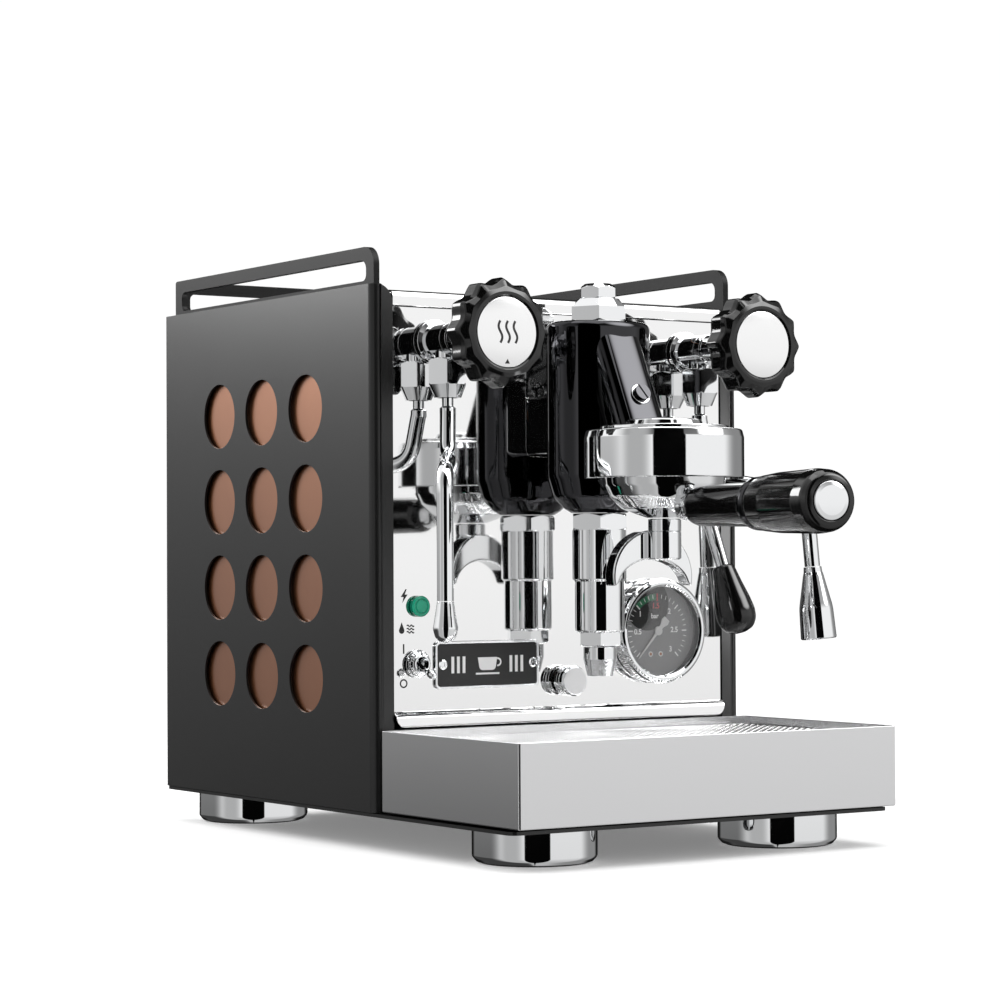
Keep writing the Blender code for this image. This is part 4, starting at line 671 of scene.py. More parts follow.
def perforated():
    """The grate's sheet: a plain border round rows of 4 mm holes."""
    mesh = bmesh.new()
    columns, rows = 47, 24
    pitch_x = (2 * GRATE_HALF - 10) / columns
    pitch_y = (GRATE_BACK - GRATE_FRONT - 9) / rows
    for column in range(columns):
        for row in range(rows):
            x = (column + 0.5 - columns / 2) * pitch_x
            y = (GRATE_FRONT + GRATE_BACK) / 2 + (row + 0.5 - rows / 2) * pitch_y
            a, b = pitch_x / 2, pitch_y / 2
            outer = [(a, 0), (a, b), (0, b), (-a, b), (-a, 0), (-a, -b), (0, -b), (a, -b)]
            rim = [mesh.verts.new((x + u, y + v, 0)) for u, v in outer]
            hole = [mesh.verts.new((u, v, 0)) for u, v in circle(x, y, 2.0, 8)]
            for i in range(8):
                j = (i + 1) % 8
                mesh.faces.new((rim[i], rim[j], hole[j], hole[i]))
    a, b = columns * pitch_x / 2, rows * pitch_y / 2
    middle = (GRATE_FRONT + GRATE_BACK) / 2
    inner = [(-a, middle - b), (a, middle - b), (a, middle + b), (-a, middle + b)]
    outer = [(-GRATE_HALF, GRATE_FRONT), (GRATE_HALF, GRATE_FRONT), (GRATE_HALF, GRATE_BACK),
             (-GRATE_HALF, GRATE_BACK)]
    for i in range(4):
        j = (i + 1) % 4
        mesh.faces.new([mesh.verts.new((*point, 0)) for point in (outer[i], outer[j], inner[j], inner[i])])
    bmesh.ops.remove_doubles(mesh, verts=mesh.verts, dist=0.001)
    return mesh


grate = piece("grate_sheet", perforated(), MIRROR, "grate", (0, 0, GRATE_TOP),
              stands_for=("drip_grate",))
grate.modifiers.new("sheet", "SOLIDIFY").thickness = GRATE_THICK * MM
grate.modifiers["sheet"].offset = -1.0

# ---- Brew group --------------------------------------------------------------------------------
# A heavy brass casting, chromed: oval rear column on a rounded wall block, inclined neck, and the bell
# that takes the filter holder. Turned nuts close the column above and below. Column, neck and neck
# screw take a darkened copy of the chrome: painted dark reflection.
COLUMN_Y, BELL_Y, SHAFT_Z = -38.0, -104.0, 226.0


def hex_bar(flats, limits, start=0.0, bore=0.0):
    """Hexagonal bar cut by a turned profile of (height, radius) points, as a chamfered nut is."""
    sides = 120
    heights = []
    for (low, _), (high, _) in zip(limits, limits[1:]):
        count = 7 if high - low < 4 else 1
        heights += [low + (high - low) * k / count for k in range(count)]
    heights.append(limits[-1][0])

    def limit(z):
        """The profile's radius at a height."""
        for (low, a), (high, b) in zip(limits, limits[1:]):
            if low <= z <= high:
                return a + (b - a) * (z - low) / (high - low)
        return limits[-1][1]

    mesh = bmesh.new()
    rows = []
    for z in heights:
        row = []
        for i in range(sides):
            a = math.tau * i / sides
            flat = (flats / 2) / math.cos((a % (math.pi / 3)) - math.pi / 6)
            radius = min(flat, limit(z))
            turn = a + start
            row.append(mesh.verts.new((radius * math.cos(turn), radius * math.sin(turn), z)))
        rows.append(row)
    if bore:
        for z in (heights[-1], heights[0]):
            rows.append([mesh.verts.new((bore * math.cos(start + math.tau * i / sides),
                                         bore * math.sin(start + math.tau * i / sides),
                                         z)) for i in range(sides)])
        rows.append(rows[0])
    for low, high in zip(rows, rows[1:]):
        for i in range(sides):
            j = (i + 1) % sides
            mesh.faces.new((low[i], low[j], high[j], high[i]))
    if not bore:
        mesh.faces.new(rows[0])
        mesh.faces.new(rows[-1])
    return mesh


def chamfered(low, high, flats):
    """Limits of a nut with 30-degree chamfers at both ends."""
    face, corner = flats / 2 * 0.98, flats / 2 / math.cos(math.pi / 6) * 1.001
    rise = (corner - face) * 0.577
    return [(low, face), (low + rise, corner), (high - rise, corner), (high, face)]


column = [(0, 200.6), (18.3, 200.6, 0.5), (22.5, 203, 3), (30, 210, 8), (34, 222, 10), (34, 316, 4.5),
          (0, 316)]
# The column is real chrome. Its dark tone is painted dark reflection.
turned("group_column", column, (0, COLUMN_Y, 0), sides=128, material=PAINTED_DARK_REFLECTION_CHROME, steps=8, squeeze=26 / 34,
       stands_for=("group_body",))
stub = [(0, -7.9), (25.4, -7.9), (25.4, 0.5), (0, 0.5)]
turned("group_stub", stub, (0, 0, GROUP_Z), FORWARD)
block = rounded((-26.2, 26.2), (235.7, 311.9), 5, 8)
piece("group_block", slab(block, -28, -0.15), CHROME, "housing", lay=FRONT_WALL, edge=2.0,
      segments=5)
bell = [(0, 254.5), (21.5, 254.4, 1.5), (23.2, 250.6, 1.2), (37.8, 250.4, 0.5), (38, 248.9),
        (45.8, 248.2, 1.6), (47, 243.6, 3), (47, 219.6, 0.9), (38.1, 219.6, 0.3), (38.1, 221.4),
        (42.9, 221.5), (42.9, 229), (38.1, 229), (38.1, 236.9), (0, 236.9)]
turned("group_bell", bell, (0, BELL_Y, 0), sides=144, sharp=38)
NECK_TOP, NECK_FOOT = Vector((-0.5, -47.5, 310.5)), Vector((0, -77.0, 248.5))
fall = NECK_FOOT - NECK_TOP
tilt = Matrix.Rotation(math.atan2(-fall.z, -fall.y) - math.radians(90), 4, "X")
section = []
for i in range(96):
    c, s = math.cos(math.tau * i / 96), math.sin(math.tau * i / 96)
    section.append((math.copysign(17.0 * abs(c) ** 0.62, c), math.copysign(13 * abs(s) ** 0.62, s)))
# The neck is real chrome. Its dark tone is painted dark reflection.
piece("group_neck", slab(section, -fall.length, 0), PAINTED_DARK_REFLECTION_CHROME, "housing", tuple(NECK_TOP),
      lay=tilt, edge=2.6, segments=6)
gland = [(0, 24), (12, 24), (12, 39.7, 1.2), (10, 40.2, 0.3), (10, 45.6, 0.8), (5.4, 45.6), (5.4, 34),
         (0, 34)]
turned("group_gland", gland, (0, COLUMN_Y, SHAFT_Z), SIDEWAYS, sides=64)


def along(direction):
    """The turn that lays +Z along a direction."""
    return direction.to_track_quat("Z", "Y").to_matrix().to_4x4()


def slotted_head(radius, rise, width):
    """Round screw head with a straight slot."""
    mesh = bmesh.new()
    bite = rise * 0.45
    reach = math.acos(width / 2 / radius)
    turns = [math.radians(90) - reach + 2 * reach * i / 24 for i in range(25)]
    for side in (-1, 1):
        outline = [(side * max(radius * math.sin(a), width / 2), radius * math.cos(a)) for a in turns]
        absorb(mesh, slab(outline, rise - bite, rise))
    absorb(mesh, lathe([(0, 0), (radius, 0), (radius, rise - bite), (0, rise - bite)], 48))
    return mesh


outward = Vector((0, fall.z, -fall.y)).normalized()
spot = NECK_TOP + fall * 0.735 + outward * 12.95
facing = along(outward)
washer = [(0, 0), (6.3, 0, 0.2), (6.3, 0.8, 0.3), (0, 0.8)]
turned("neck_washer", washer, tuple(spot), facing, sides=64)
# The screw is real chrome. Its dark tone is painted dark reflection.
piece("neck_screw", slotted_head(5.2, 2.8, 1.1), PAINTED_DARK_REFLECTION_CHROME, "housing",
      tuple(spot + outward * 0.8), lay=facing @ Matrix.Rotation(math.radians(25), 4, "Z"), edge=0.3)

NUT_START = math.radians(56.5)
limits = [(316.3, 16.4), (317.6, 18.7), (325.4, 18.7), (330.4, 12.8)]
piece("cap_nut_hexagon", hex_bar(32.4, limits, NUT_START), CHROME, "housing",
      (0, COLUMN_Y, 0), sharp=22, stands_for=("group_cap_nut",))
piece("cap_nut_head", hex_bar(20.6, [(330.3, 9.6), (331.4, 11.9), (336.8, 11.9), (339.7, 8.2)], NUT_START),
      CHROME, "housing", (0, COLUMN_Y, 0), sharp=22)
piece("chamber_hexagon", hex_bar(32.2, chamfered(189.8, 200.3, 32.2), NUT_START), CHROME, "housing",
      (0, COLUMN_Y, 0), sharp=22, stands_for=("lower_chamber",))
barrel = [(0, 190.3), (16.5, 190.3), (16.5, 160.6, 0.9), (15.1, 159.2, 0.8), (15.1, 129.4, 1.0),
          (13.9, 128.4), (0, 128.4)]
turned("chamber_barrel", barrel, (0, COLUMN_Y, 0))
piece("chamber_nut", hex_bar(24.0, chamfered(120.1, 129.0, 24.0), NUT_START), CHROME, "housing",
      (0, COLUMN_Y, 0), sharp=22)
nozzle = [(5, 119.6), (10.2, 119.6, 0.4), (10.2, 112, 0.8), (7.8, 101.9, 0.5), (5, 101.9, 0.3)]
turned("nozzle", nozzle, (0, COLUMN_Y, 0), sides=64, ring=True,
       stands_for=("discharge_nozzle",))
dress(SATIN, "shower_screen")

# ---- Brew lever --------------------------------------------------------------------------------
# A bent chromed rod brazed into the cam shaft's hub, with a moulded phenolic knob. It hangs at the
# right of the group and lifts about the shaft.


def phenolic():
    """Compression-moulded phenolic, buffed: deep black with a hard, slightly wavy gloss."""
    return worn("buffed_black_phenolic", "#070707", (30.0, 4.0), (0.0, 1.0), (0.06, 0.13), (90.0, 2.0), 0.08,
                0.0001, {"IOR": 1.54})


PHENOLIC = phenolic()


def bent(points, radius, steps=10):
    """A line in space with its corners rounded."""
    line = [Vector(points[0])]
    for before, here, after in zip(points, points[1:], points[2:]):
        here = Vector(here)
        back, on = Vector(before) - here, Vector(after) - here
        half = back.angle(on) / 2
        reach = min(radius / math.tan(half), back.length * 0.49, on.length * 0.49)
        start, end = here + back.normalized() * reach, here + on.normalized() * reach
        for k in range(steps + 1):
            t = k / steps
            line.append(start * (1 - t) ** 2 + here * 2 * t * (1 - t) + end * t ** 2)
    line.append(Vector(points[-1]))
    return line


def tube(line, radius, sides=32):
    """A round bar along a line."""
    mesh = bmesh.new()
    rows = []
    lift = Vector((1, 0, 0))
    for i, point in enumerate(line):
        way = (line[min(i + 1, len(line) - 1)] - line[max(i - 1, 0)]).normalized()
        lift = (lift - way * lift.dot(way)).normalized()
        other = way.cross(lift)
        rows.append([mesh.verts.new(point + (lift * math.cos(a) + other * math.sin(a)) * radius)
                     for a in [math.tau * k / sides for k in range(sides)]])
    for low, high in zip(rows, rows[1:]):
        for i in range(sides):
            j = (i + 1) % sides
            mesh.faces.new((low[i], low[j], high[j], high[i]))
    mesh.faces.new(rows[0])
    mesh.faces.new(rows[-1])
    return mesh


hub = [(0, 46.1), (9, 46.1, 1.0), (9, 61.9, 1.6), (0, 61.9)]
turned("lever_hub", hub, (0, COLUMN_Y, SHAFT_Z), SIDEWAYS, sides=64, body="brew_lever",
       stands_for=("lever_arm",))
shaft = [(0, 34.8), (4.9, 34.8), (4.9, 47), (0, 47)]
turned("lever_shaft", shaft, (0, COLUMN_Y, SHAFT_Z), SIDEWAYS, sides=48, material=SATIN, body="brew_lever")
LEVER_ROUTE = [(56.0, -38.0, 226.0), (68.0, -42.0, 213.0), (76.6, -49.5, 193.0), (80.0, -56.4, 168.2)]
piece("lever_rod", tube(bent(LEVER_ROUTE, 24), 4.3), CHROME, "brew_lever")
grip_start, grip_end = Vector(LEVER_ROUTE[-1]), Vector((86.0, -66.6, 126.8))
L = (grip_end - grip_start).length
grip = [(0, 0.3), (5.8, 0.3, 0.5), (7.0, 1.8), (8.8, 0.27 * L, 30), (11.2, 0.52 * L, 30), (12.3, 0.7 * L, 12),
        (11.6, 0.84 * L, 10), (8.4, 0.95 * L, 6), (3.5, 0.993 * L, 3), (0, 0.997 * L)]
turned("lever_grip", grip, tuple(grip_start), along(grip_end - grip_start), sides=72, material=PHENOLIC,
       body="brew_lever", steps=8, sharp=60, stands_for=("lever_knob",))

# ---- Filter holder -----------------------------------------------------------------------------
# A chromed brass bowl with bayonet ears and a steel basket, an open double spout, and a two-part
# phenolic handle divided by a chromed collar and closed by a chromed button. The collar's dark tone is
# painted dark reflection.
HANDLE = Matrix.Rotation(math.radians(-10), 4, "Z")
bowl = [(0, 196.6), (10.5, 196.6, 0.8), (16, 198.5, 4), (25, 202, 8), (32.5, 208.5, 8), (35.8, 215.5, 6),
        (36.5, 220.5, 4), (36.5, 229.4, 0.5), (33.1, 229.4, 0.3), (33.1, 213.5), (24, 205.5), (0, 203.5)]
turned("holder_bowl", bowl, (0, BELL_Y, 0), sides=128, body="portafilter", steps=6, sharp=45,
       stands_for=("portafilter_bowl",))
for name, side in (("left", -1), ("right", 1)):
    xs = sorted((side * 34.5, side * 41.6))
    ear = slab(rounded((xs[0], xs[1]), (-7.4, 7.4), 2), 222.2, 227.5)
    piece(f"holder_ear_{name}", ear, CHROME, "portafilter", (0, BELL_Y, 0), lay=HANDLE, edge=0.5)
ALONG = HANDLE @ Matrix.Translation((0, 0, 202.5)) @ FORWARD
neck = [(0, 26), (8.5, 27, 2), (6.5, 33, 5), (8.2, 37.5, 2), (8.6, 40, 1.2), (7.6, 43.0, 0.4), (0, 43.0)]
turned("holder_neck", neck, (0, BELL_Y, 0), ALONG, sides=64, body="portafilter", sharp=45)
basket = [(0, 211.1), (26, 211.1, 1), (30, 214.1, 1), (30.6, 227.8), (32.1, 227.8), (32.1, 229.2, 0.5),
          (29.8, 229.2, 0.5), (29.2, 214.5, 1), (25.6, 211.9, 1), (0, 211.9)]
turned("basket", basket, (0, BELL_Y, 0), material=SATIN, body="portafilter",
       stands_for=("filter_basket",))
stem = [(0, 196.1), (9.1, 196.1), (9.8, 195.4, 0.3), (9.8, 189, 0.2), (9.3, 188.6), (9.8, 188.2, 0.2),
        (9.8, 172.9, 0.6), (9.0, 172.1), (0, 172.1)]
turned("spout_stem", stem, (0, BELL_Y, 0), sides=72, body="portafilter", stands_for=("double_spout",))
arch = []
for i in range(41):
    a = math.radians(-12 + 204 * i / 40)
    arch.append((26 * math.cos(a), 1.06 * 26 * math.sin(a)))
for i in range(33):
    a = math.radians(172 - 164 * i / 32)
    arch.append((22.5 * math.cos(a), -6 + 0.72 * 22.5 * math.sin(a)))
outline = [(x - 5, z + 162) for x, z in arch]
piece("spout_arms", slab(outline, 5, 17), CHROME, "portafilter", (0, BELL_Y, 0),
      lay=HANDLE @ FRONT_WALL, edge=1.7, segments=5, sharp=50)
front = [(0, 43.5), (8.6, 43.5, 0.8), (11.0, 45.5, 1.4), (11.6, 49, 3), (12.7, 113.3, 0.3), (0, 113.3)]
turned("grip_front", front, (0, BELL_Y, 0), ALONG, material=PHENOLIC, body="portafilter",
       sharp=50, stands_for=("handle_front_grip",))
collar = [(0, 113.8), (13.1, 113.8, 0.6), (14.8, 115.7, 1.4), (15.0, 118.7, 3), (14.2, 121.6, 0.5),
          (0, 121.6)]
# The collar is real chrome. Its dark tone is painted dark reflection.
turned("grip_collar", collar, (0, BELL_Y, 0), ALONG, material=PAINTED_DARK_REFLECTION_CHROME, body="portafilter", sharp=50,
       stands_for=("handle_collar",))
rear = [(0, 122.1), (13.4, 122.1, 1.0), (15.4, 125, 3), (16.6, 142, 20), (17.4, 181, 12), (16.7, 189.5, 5),
        (14.4, 193.6, 3), (10.9, 194.4, 0.5), (10.8, 192.1), (0, 192.1)]
turned("grip_rear", rear, (0, BELL_Y, 0), ALONG, material=PHENOLIC, body="portafilter",
       steps=8, sharp=55, stands_for=("handle_rear_grip",))
button = [(0, 192.4), (10.4, 192.4), (10.4, 194.6, 0.5), (8, 195.1, 3), (0, 195.4)]
turned("grip_button", button, (0, BELL_Y, 0), ALONG, sides=72, body="portafilter",
       stands_for=("handle_end_button",))

# ---- Taps --------------------------------------------------------------------------------------
# Turned and chromed brass valve bodies, lobed phenolic hand wheels, and domed satin steel discs. The
# steam wheel's disc carries a printed sign, the water wheel's is plain.


def lobed(mesh, lobes, dip, inner, outer):
    """Press shallow hollows between the lobes of a turned knob."""
    for vert in mesh.verts:
        radius = vert.co.xy.length
        if radius > inner:
            share = min((radius - inner) / (outer - inner), 1)
            wave = ((1 - math.cos(lobes * math.atan2(vert.co.y, vert.co.x))) / 2) ** 0.72
            factor = (radius - dip * share * wave) / radius
            vert.co.x *= factor
            vert.co.y *= factor
    return mesh


def printing_ink(name, tone):
    """Screen-printed ink: a thin, slightly uneven satin film."""
    made, tree, shader = finish(name)
    spread = node(tree, "ShaderNodeTexNoise", {"Scale": 1500.0, "Detail": 2.0})
    rough = node(tree, "ShaderNodeMapRange", {"Value": spread.outputs["Fac"], "To Min": 0.35, "To Max": 0.55})
    feed(shader, {"Roughness": rough.outputs[0], "Base Color": linear(tone)})
    return made


INK_BLACK = printing_ink("screen_printed_black_ink", "#121212")


def stroke(points, width):
    """Outline of a drawn line of even width."""
    line = [Vector(p) for p in points]
    left, right = [], []
    for i, point in enumerate(line):
        way = (line[min(i + 1, len(line) - 1)] - line[max(i - 1, 0)]).normalized()
        side = Vector((-way.y, way.x)) * width / 2
        left.append(tuple(point + side))
        right.append(tuple(point - side))
    return left + right[::-1]


def printed(name, shapes, material, body, place, lay, thick=0.06, drape=None):
    """Flat printed shapes: each an outline, with its holes."""
    mesh = bmesh.new()
    for outline, holes in shapes:
        part = slab(outline, 0, thick, holes)
        if drape:
            for vert in part.verts:
                vert.co.z += drape(vert.co.xy.length)
        absorb(mesh, part)
    return piece(name, mesh, material, body, place, lay=lay)


def disc_height(radius):
    """How far the wheel's domed disc stands out at a radius."""
    return 26.28 - 1.1 * (radius / 20.5) ** 2.4


JOINT_Y = -15.5
for kind, side in (("steam", -1), ("water", 1)):
    x = side * VALVE_X
    body = [(0, -11.9), (9, -11.9), (9, -0.2), (12.9, -0.1, 0.2), (12.9, 2.5, 0.5), (10, 3.5, 0.4),
            (10, 22, 0.15), (9.5, 22.4), (10, 22.8, 0.15), (10, 28, 0.2), (9.2, 28.6), (9.2, 29.4),
            (10, 30, 0.2), (10, 46, 0.3), (12.2, 46.5, 0.5), (12.2, 51.9, 0.7), (4.4, 51.9), (4.4, 46),
            (0, 46)]
    turned(f"{kind}_tap_barrel", body, (x, 0, VALVE_Z), FORWARD, sharp=36,
           stands_for=(f"{kind}_valve_body",))
    boss = [(0, 288.1), (7.4, 288.1), (7.4, 300, 0.5), (0, 300)]
    turned(f"{kind}_tap_boss", boss, (x, JOINT_Y, 0), sides=64)
    tap = f"{kind}_tap"
    stem = [(0, -21.9), (3.9, -21.9), (3.9, 1), (0, 1)]
    turned(f"{kind}_tap_stem", stem, (x, WHEEL_Y, VALVE_Z), FORWARD, sides=48, material=SATIN, body=tap)
    wheel = [(0, 0.05), (15, 0.05, 0.5), (25, 4.5, 2), (30.7, 8, 2.5), (32.2, 10.5, 2.5), (32.2, 19.5, 2.6),
             (30.8, 22.6, 3), (26.4, 25.2, 2.0), (23.5, 25.9, 0.7), (21.8, 25.9, 0.35), (20.95, 25.2, 0.1),
             (20.9, 23.5), (0, 23.5)]
    piece(f"{kind}_wheel", lobed(lathe(wheel, 288, steps=6), 12, 3.0, 24.8, 31.5), PHENOLIC, tap,
          (x, WHEEL_Y, VALVE_Z), lay=FORWARD, sharp=50, stands_for=(f"{kind}_knob",))
    disc = [(0, 23.75), (20.4, 23.75), (20.4, disc_height(20.4), 0.25)]
    disc += [(r, disc_height(r)) for r in (19, 16.5, 14, 11.5, 9, 6.5, 4, 2, 0)]
    turned(f"{kind}_wheel_disc", disc, (x, WHEEL_Y, VALVE_Z), FORWARD, sides=128, material=FINE_SATIN,
           body=tap, sharp=50, stands_for=(f"{kind}_knob_disc",))

shapes = []
for column in (-1, 0, 1):
    wave = [(column * 5.2 + 1.25 * math.sin(math.radians(22.5 * i)), -6.4 + 0.8 * i) for i in range(17)]
    shapes.append((stroke(wave, 1.5), ()))
shapes.append(([(-1.7, -18.3), (1.7, -18.3), (0, -15.6)], ()))
printed("steam_sign", shapes, INK_BLACK, "steam_tap", (-VALVE_X, WHEEL_Y, VALVE_Z), FORWARD,
        drape=disc_height)

# ---- Wands -------------------------------------------------------------------------------------
# Bent chromed tubes on ball joints under the taps: steam on the left, hot water on the right. Steam
# leaves through a pear-shaped tip, water through a long open flare.
for kind in ("steam", "water"):
    dress(CHROME, f"{kind}_wand_ball")
for kind, side in (("steam", -1), ("water", 1)):
    limits = [(269.1, 8.0), (276.9, 12.2), (277.6, 12.8), (291.2, 12.8), (292.5, 10.8)]
    piece(f"{kind}_joint_nut", hex_bar(22.0, limits, NUT_START, bore=6.2), CHROME, "housing",
          (side * VALVE_X, JOINT_Y, 0), sharp=22, stands_for=(f"{kind}_wand_nut",))


def wand(kind, side, swing, arm_z, tip_z, lean):
    """One wand: neck, sleeve and bent tube; returns the place and direction of its end."""
    turn = Matrix.Rotation(math.radians(side * swing), 4, "Z")
    place = (side * VALVE_X, JOINT_Y, BALL_Z)
    neck = [(0, -7.35), (3.45, -7.35, 0.3), (3.45, -16, 0.4), (4.9, -17, 0.4), (4.9, -21, 0.3), (0, -21)]
    turned(f"{kind}_neck", neck, place, sides=48, body=f"{kind}_wand", stands_for=(f"{kind}_wand",))
    elbow = Vector((0, -67.0, arm_z[1] - BALL_Z))
    down = Vector((0, -lean, tip_z[1] - arm_z[1]))
    end = elbow + down * (arm_z[1] - tip_z[0]) / (arm_z[1] - tip_z[1])
    route = [(0, 0, -19), (0, -6, arm_z[0] - BALL_Z), tuple(elbow), tuple(end)]
    piece(f"{kind}_pipe", tube(bent(route, 16, 12), 4.85, 48), CHROME, f"{kind}_wand", place,
          lay=turn)
    lay = turn @ Matrix.Translation(end + down.normalized() * 0.3) @ along(-down)
    return place, lay


place, lay = wand("steam", -1, 34.0, (231.5, 224.4), (149.0, 125.0), 0.5)
tip = [(0, -0.05), (4.9, -0.05, 0.2), (5.0, -1.2, 1), (6.1, -8.4, 8), (7.35, -15.6, 5), (6.1, -20.4, 4),
       (3.3, -23.0, 2), (0, -23.6)]
turned("steam_nozzle", tip, place, lay, sides=72, body="steam_wand", steps=8, sharp=50,
       stands_for=("steam_tip",))
place, lay = wand("water", 1, 57.7, (223.5, 214.0), (167.5, 121.5), 7.6)
flare = [(3.0, -0.05), (5.6, -0.05, 0.2), (5.9, -3.5, 0.6), (6.4, -5, 1), (10.6, -25.6, 30),
         (11.3, -44.8, 0.4), (10.8, -45.6, 0.3), (9.4, -45.6, 0.3), (8.8, -27.4, 4), (3.0, -8)]
turned("water_spout", flare, place, lay, body="water_wand", ring=True, steps=6, sharp=50,
       stands_for=("water_nozzle",))

# ---- Pressure gauge ----------------------------------------------------------------------------
# A pressed case with a polished bezel, a grey printed dial, a pale needle and a domed glass. The scale
# runs from 0 to 3 bar over 270 degrees, with green below its red limit.


def painted(name, low, high, rough_low, rough_high, scale):
    """Sprayed paint with a faint mottle."""
    made, tree, shader = finish(name)
    mottle = node(tree, "ShaderNodeTexNoise", {"Scale": scale, "Detail": 3.0})
    mixed = node(tree, "ShaderNodeMix", {0: mottle.outputs["Fac"], 6: linear(low), 7: linear(high)},
                 data_type="RGBA")
    rough = node(tree, "ShaderNodeMapRange", {"Value": mottle.outputs["Fac"], "To Min": rough_low,
                                              "To Max": rough_high})
    bump = node(tree, "ShaderNodeBump", {"Strength": 0.15, "Distance": 0.00004,
                                         "Height": mottle.outputs["Fac"]})
    feed(shader, {"Base Color": mixed.outputs[2], "Roughness": rough.outputs[0], "Normal": bump.outputs[0]})
    return made


def window_glass():
    """Clear pressed glass, thin enough to leave the dial plain behind a soft reflection."""
    made, tree, shader = finish("clear_pressed_glass")
    smear = node(tree, "ShaderNodeTexNoise", {"Scale": 60.0, "Detail": 3.0})
    rough = node(tree, "ShaderNodeMapRange", {"Value": smear.outputs["Fac"], "To Min": 0.01, "To Max": 0.04})
    clear = node(tree, "ShaderNodeBsdfTransparent")
    mirror = node(tree, "ShaderNodeBsdfGlossy", {"Roughness": rough.outputs[0], "Color": (1, 1, 1, 1)})
    edge = node(tree, "ShaderNodeFresnel", {"IOR": 1.5})
    share = node(tree, "ShaderNodeMath", {0: edge.outputs[0], 1: 0.7}, operation="MULTIPLY")
    both = node(tree, "ShaderNodeMixShader", {0: share.outputs[0], 1: clear.outputs[0], 2: mirror.outputs[0]})
    tree.nodes.remove(shader)
    tree.links.new(both.outputs[0], tree.nodes["Material Output"].inputs["Surface"])
    return made


DIAL_GREY = painted("sprayed_grey_dial_enamel", "#7a7a7b", "#828283", 0.45, 0.6, 700.0)
NEEDLE_GREY = painted("sprayed_pale_needle_enamel", "#c9c9c9", "#d4d4d4", 0.4, 0.5, 900.0)
INK_PALE = printing_ink("screen_printed_white_ink", "#e6e6e6")
INK_GREEN = printing_ink("screen_printed_green_ink", "#1d6b47")
INK_RED = printing_ink("screen_printed_red_ink", "#b3262a")
GAUGE = (GAUGE_X, 0, GAUGE_Z)
case = [(0, -15.9), (26.3, -15.9), (26.3, -0.2), (32, -0.1, 0.3), (32, 3, 0.4), (33, 4, 0.5), (33, 9, 1.0),
        (32.4, 11.0, 0.9), (30.8, 11.95, 0.8), (29.2, 11.95, 0.6), (27.8, 10.9, 0.3), (27.8, 10.45),
        (28.9, 10.4), (28.9, 3), (0, 3)]
turned("gauge_shell", case, GAUGE, FORWARD, sides=144, sharp=40, stands_for=("gauge_case",))
dial = [(1.5, 3.35), (28.5, 3.35), (28.5, 4.15, 0.2), (1.5, 4.15)]
turned("gauge_face", dial, GAUGE, FORWARD, material=DIAL_GREY, ring=True,
       stands_for=("gauge_dial",))
pane = [(0, 8.65), (28.5, 8.65), (28.5, 9.9, 0.2), (18, 10.15, 8), (0, 10.35)]
turned("gauge_pane", pane, GAUGE, FORWARD, material=window_glass(),
       stands_for=("gauge_glass",))


def on_dial(value, radius):
    """Where a pressure in bar falls on the dial."""
    a = math.radians(-135 + 90 * value)
    return Vector((radius * math.sin(a), radius * math.cos(a)))


def tick(value, inner, outer, width):
    """A mark across the scale, as a shape without holes."""
    return stroke([on_dial(value, inner), on_dial(value, outer)], width), ()


def arc(low, high, inner, outer):
    """A band along the scale, as a shape without holes."""
    values = [low + (high - low) * i / 24 for i in range(25)]
    return [tuple(on_dial(v, outer)) for v in values] + [tuple(on_dial(v,
                                                                       inner)) for v in reversed(values)], ()


def lettering(name, entries, material, body, place, lay, raised=0.05):
    """Plain figures as flat shapes: (text, size, x, y) each."""
    mesh = bmesh.new()
    for text, size, x, y in entries:
        curve = bpy.data.curves.new("scratch", "FONT")
        curve.body, curve.size, curve.align_x, curve.align_y = text, size, "CENTER", "CENTER"
        curve.offset = 0.13
        holder = bpy.data.objects.new("scratch", curve)
        flat = bpy.data.meshes.new_from_object(holder)
        flat.transform(Matrix.Translation((x, y, raised)))
        mesh.from_mesh(flat)
        bpy.data.objects.remove(holder)
        bpy.data.meshes.remove(flat)
        bpy.data.curves.remove(curve)
    return piece(name, mesh, material, body, place, lay=lay)


DIAL = (GAUGE_X, -4.16, GAUGE_Z)
marks = [tick(v / 10, 20.4 if v % 5 else 19.2, 22.8, 0.42 if v % 5 else 0.8) for v in range(31) if v != 15]
printed("dial_marks", marks, INK_PALE, "housing", DIAL, FORWARD, 0.08)
lens = []
for u, v in circle(-8, 17, 16.8, 72):
    shrink = min(28.2 / math.hypot(u, v), 1)
    lens.append((u * shrink, v * shrink))
printed("dial_sector", [(lens, ())], INK_BLACK, "housing", (GAUGE_X, -4.15, GAUGE_Z), FORWARD,
        0.03)
printed("dial_green", [arc(0.98, 1.46, 19.4, 23.4)], INK_GREEN, "housing", DIAL, FORWARD, 0.05)
printed("dial_red", [tick(1.5, 18.6, 23.4, 1.1)], INK_RED, "housing", DIAL, FORWARD, 0.08)
figures = [("0.5", 4.8, -15.2, -0.6), ("1", 4.8, -13.3, 10.6), ("2", 4.8, 9.4, 12.0), ("2.5", 4.8, 13.2, 0.4),
           ("3", 4.8, 10.2, -11.8), ("bar", 4.4, -2.0, 9.2)]
lettering("dial_figures", figures, INK_PALE, "housing", DIAL, FORWARD)
lettering("dial_limit", [("1.5", 4.8, -1.2, 15.6)], INK_RED, "housing", DIAL, FORWARD, 0.06)
for name, x in (("a", -5.4), ("b", 2.4)):
    rivet = [(0, 0), (1.7, 0), (1.7, 0.2, 0.1), (1.1, 0.25), (0, 0.2)]
    turned(f"dial_rivet_rim_{name}", rivet, (GAUGE_X + x, -4.15, GAUGE_Z - 14.6), FORWARD, sides=32,
           material=NEEDLE_GREY)
    turned(f"dial_rivet_{name}", [(0, 0), (0.95, 0), (0.95, 0.3, 0.1), (0, 0.36)],
           (GAUGE_X + x, -4.15, GAUGE_Z - 14.6), FORWARD, sides=24, material=COPPER)

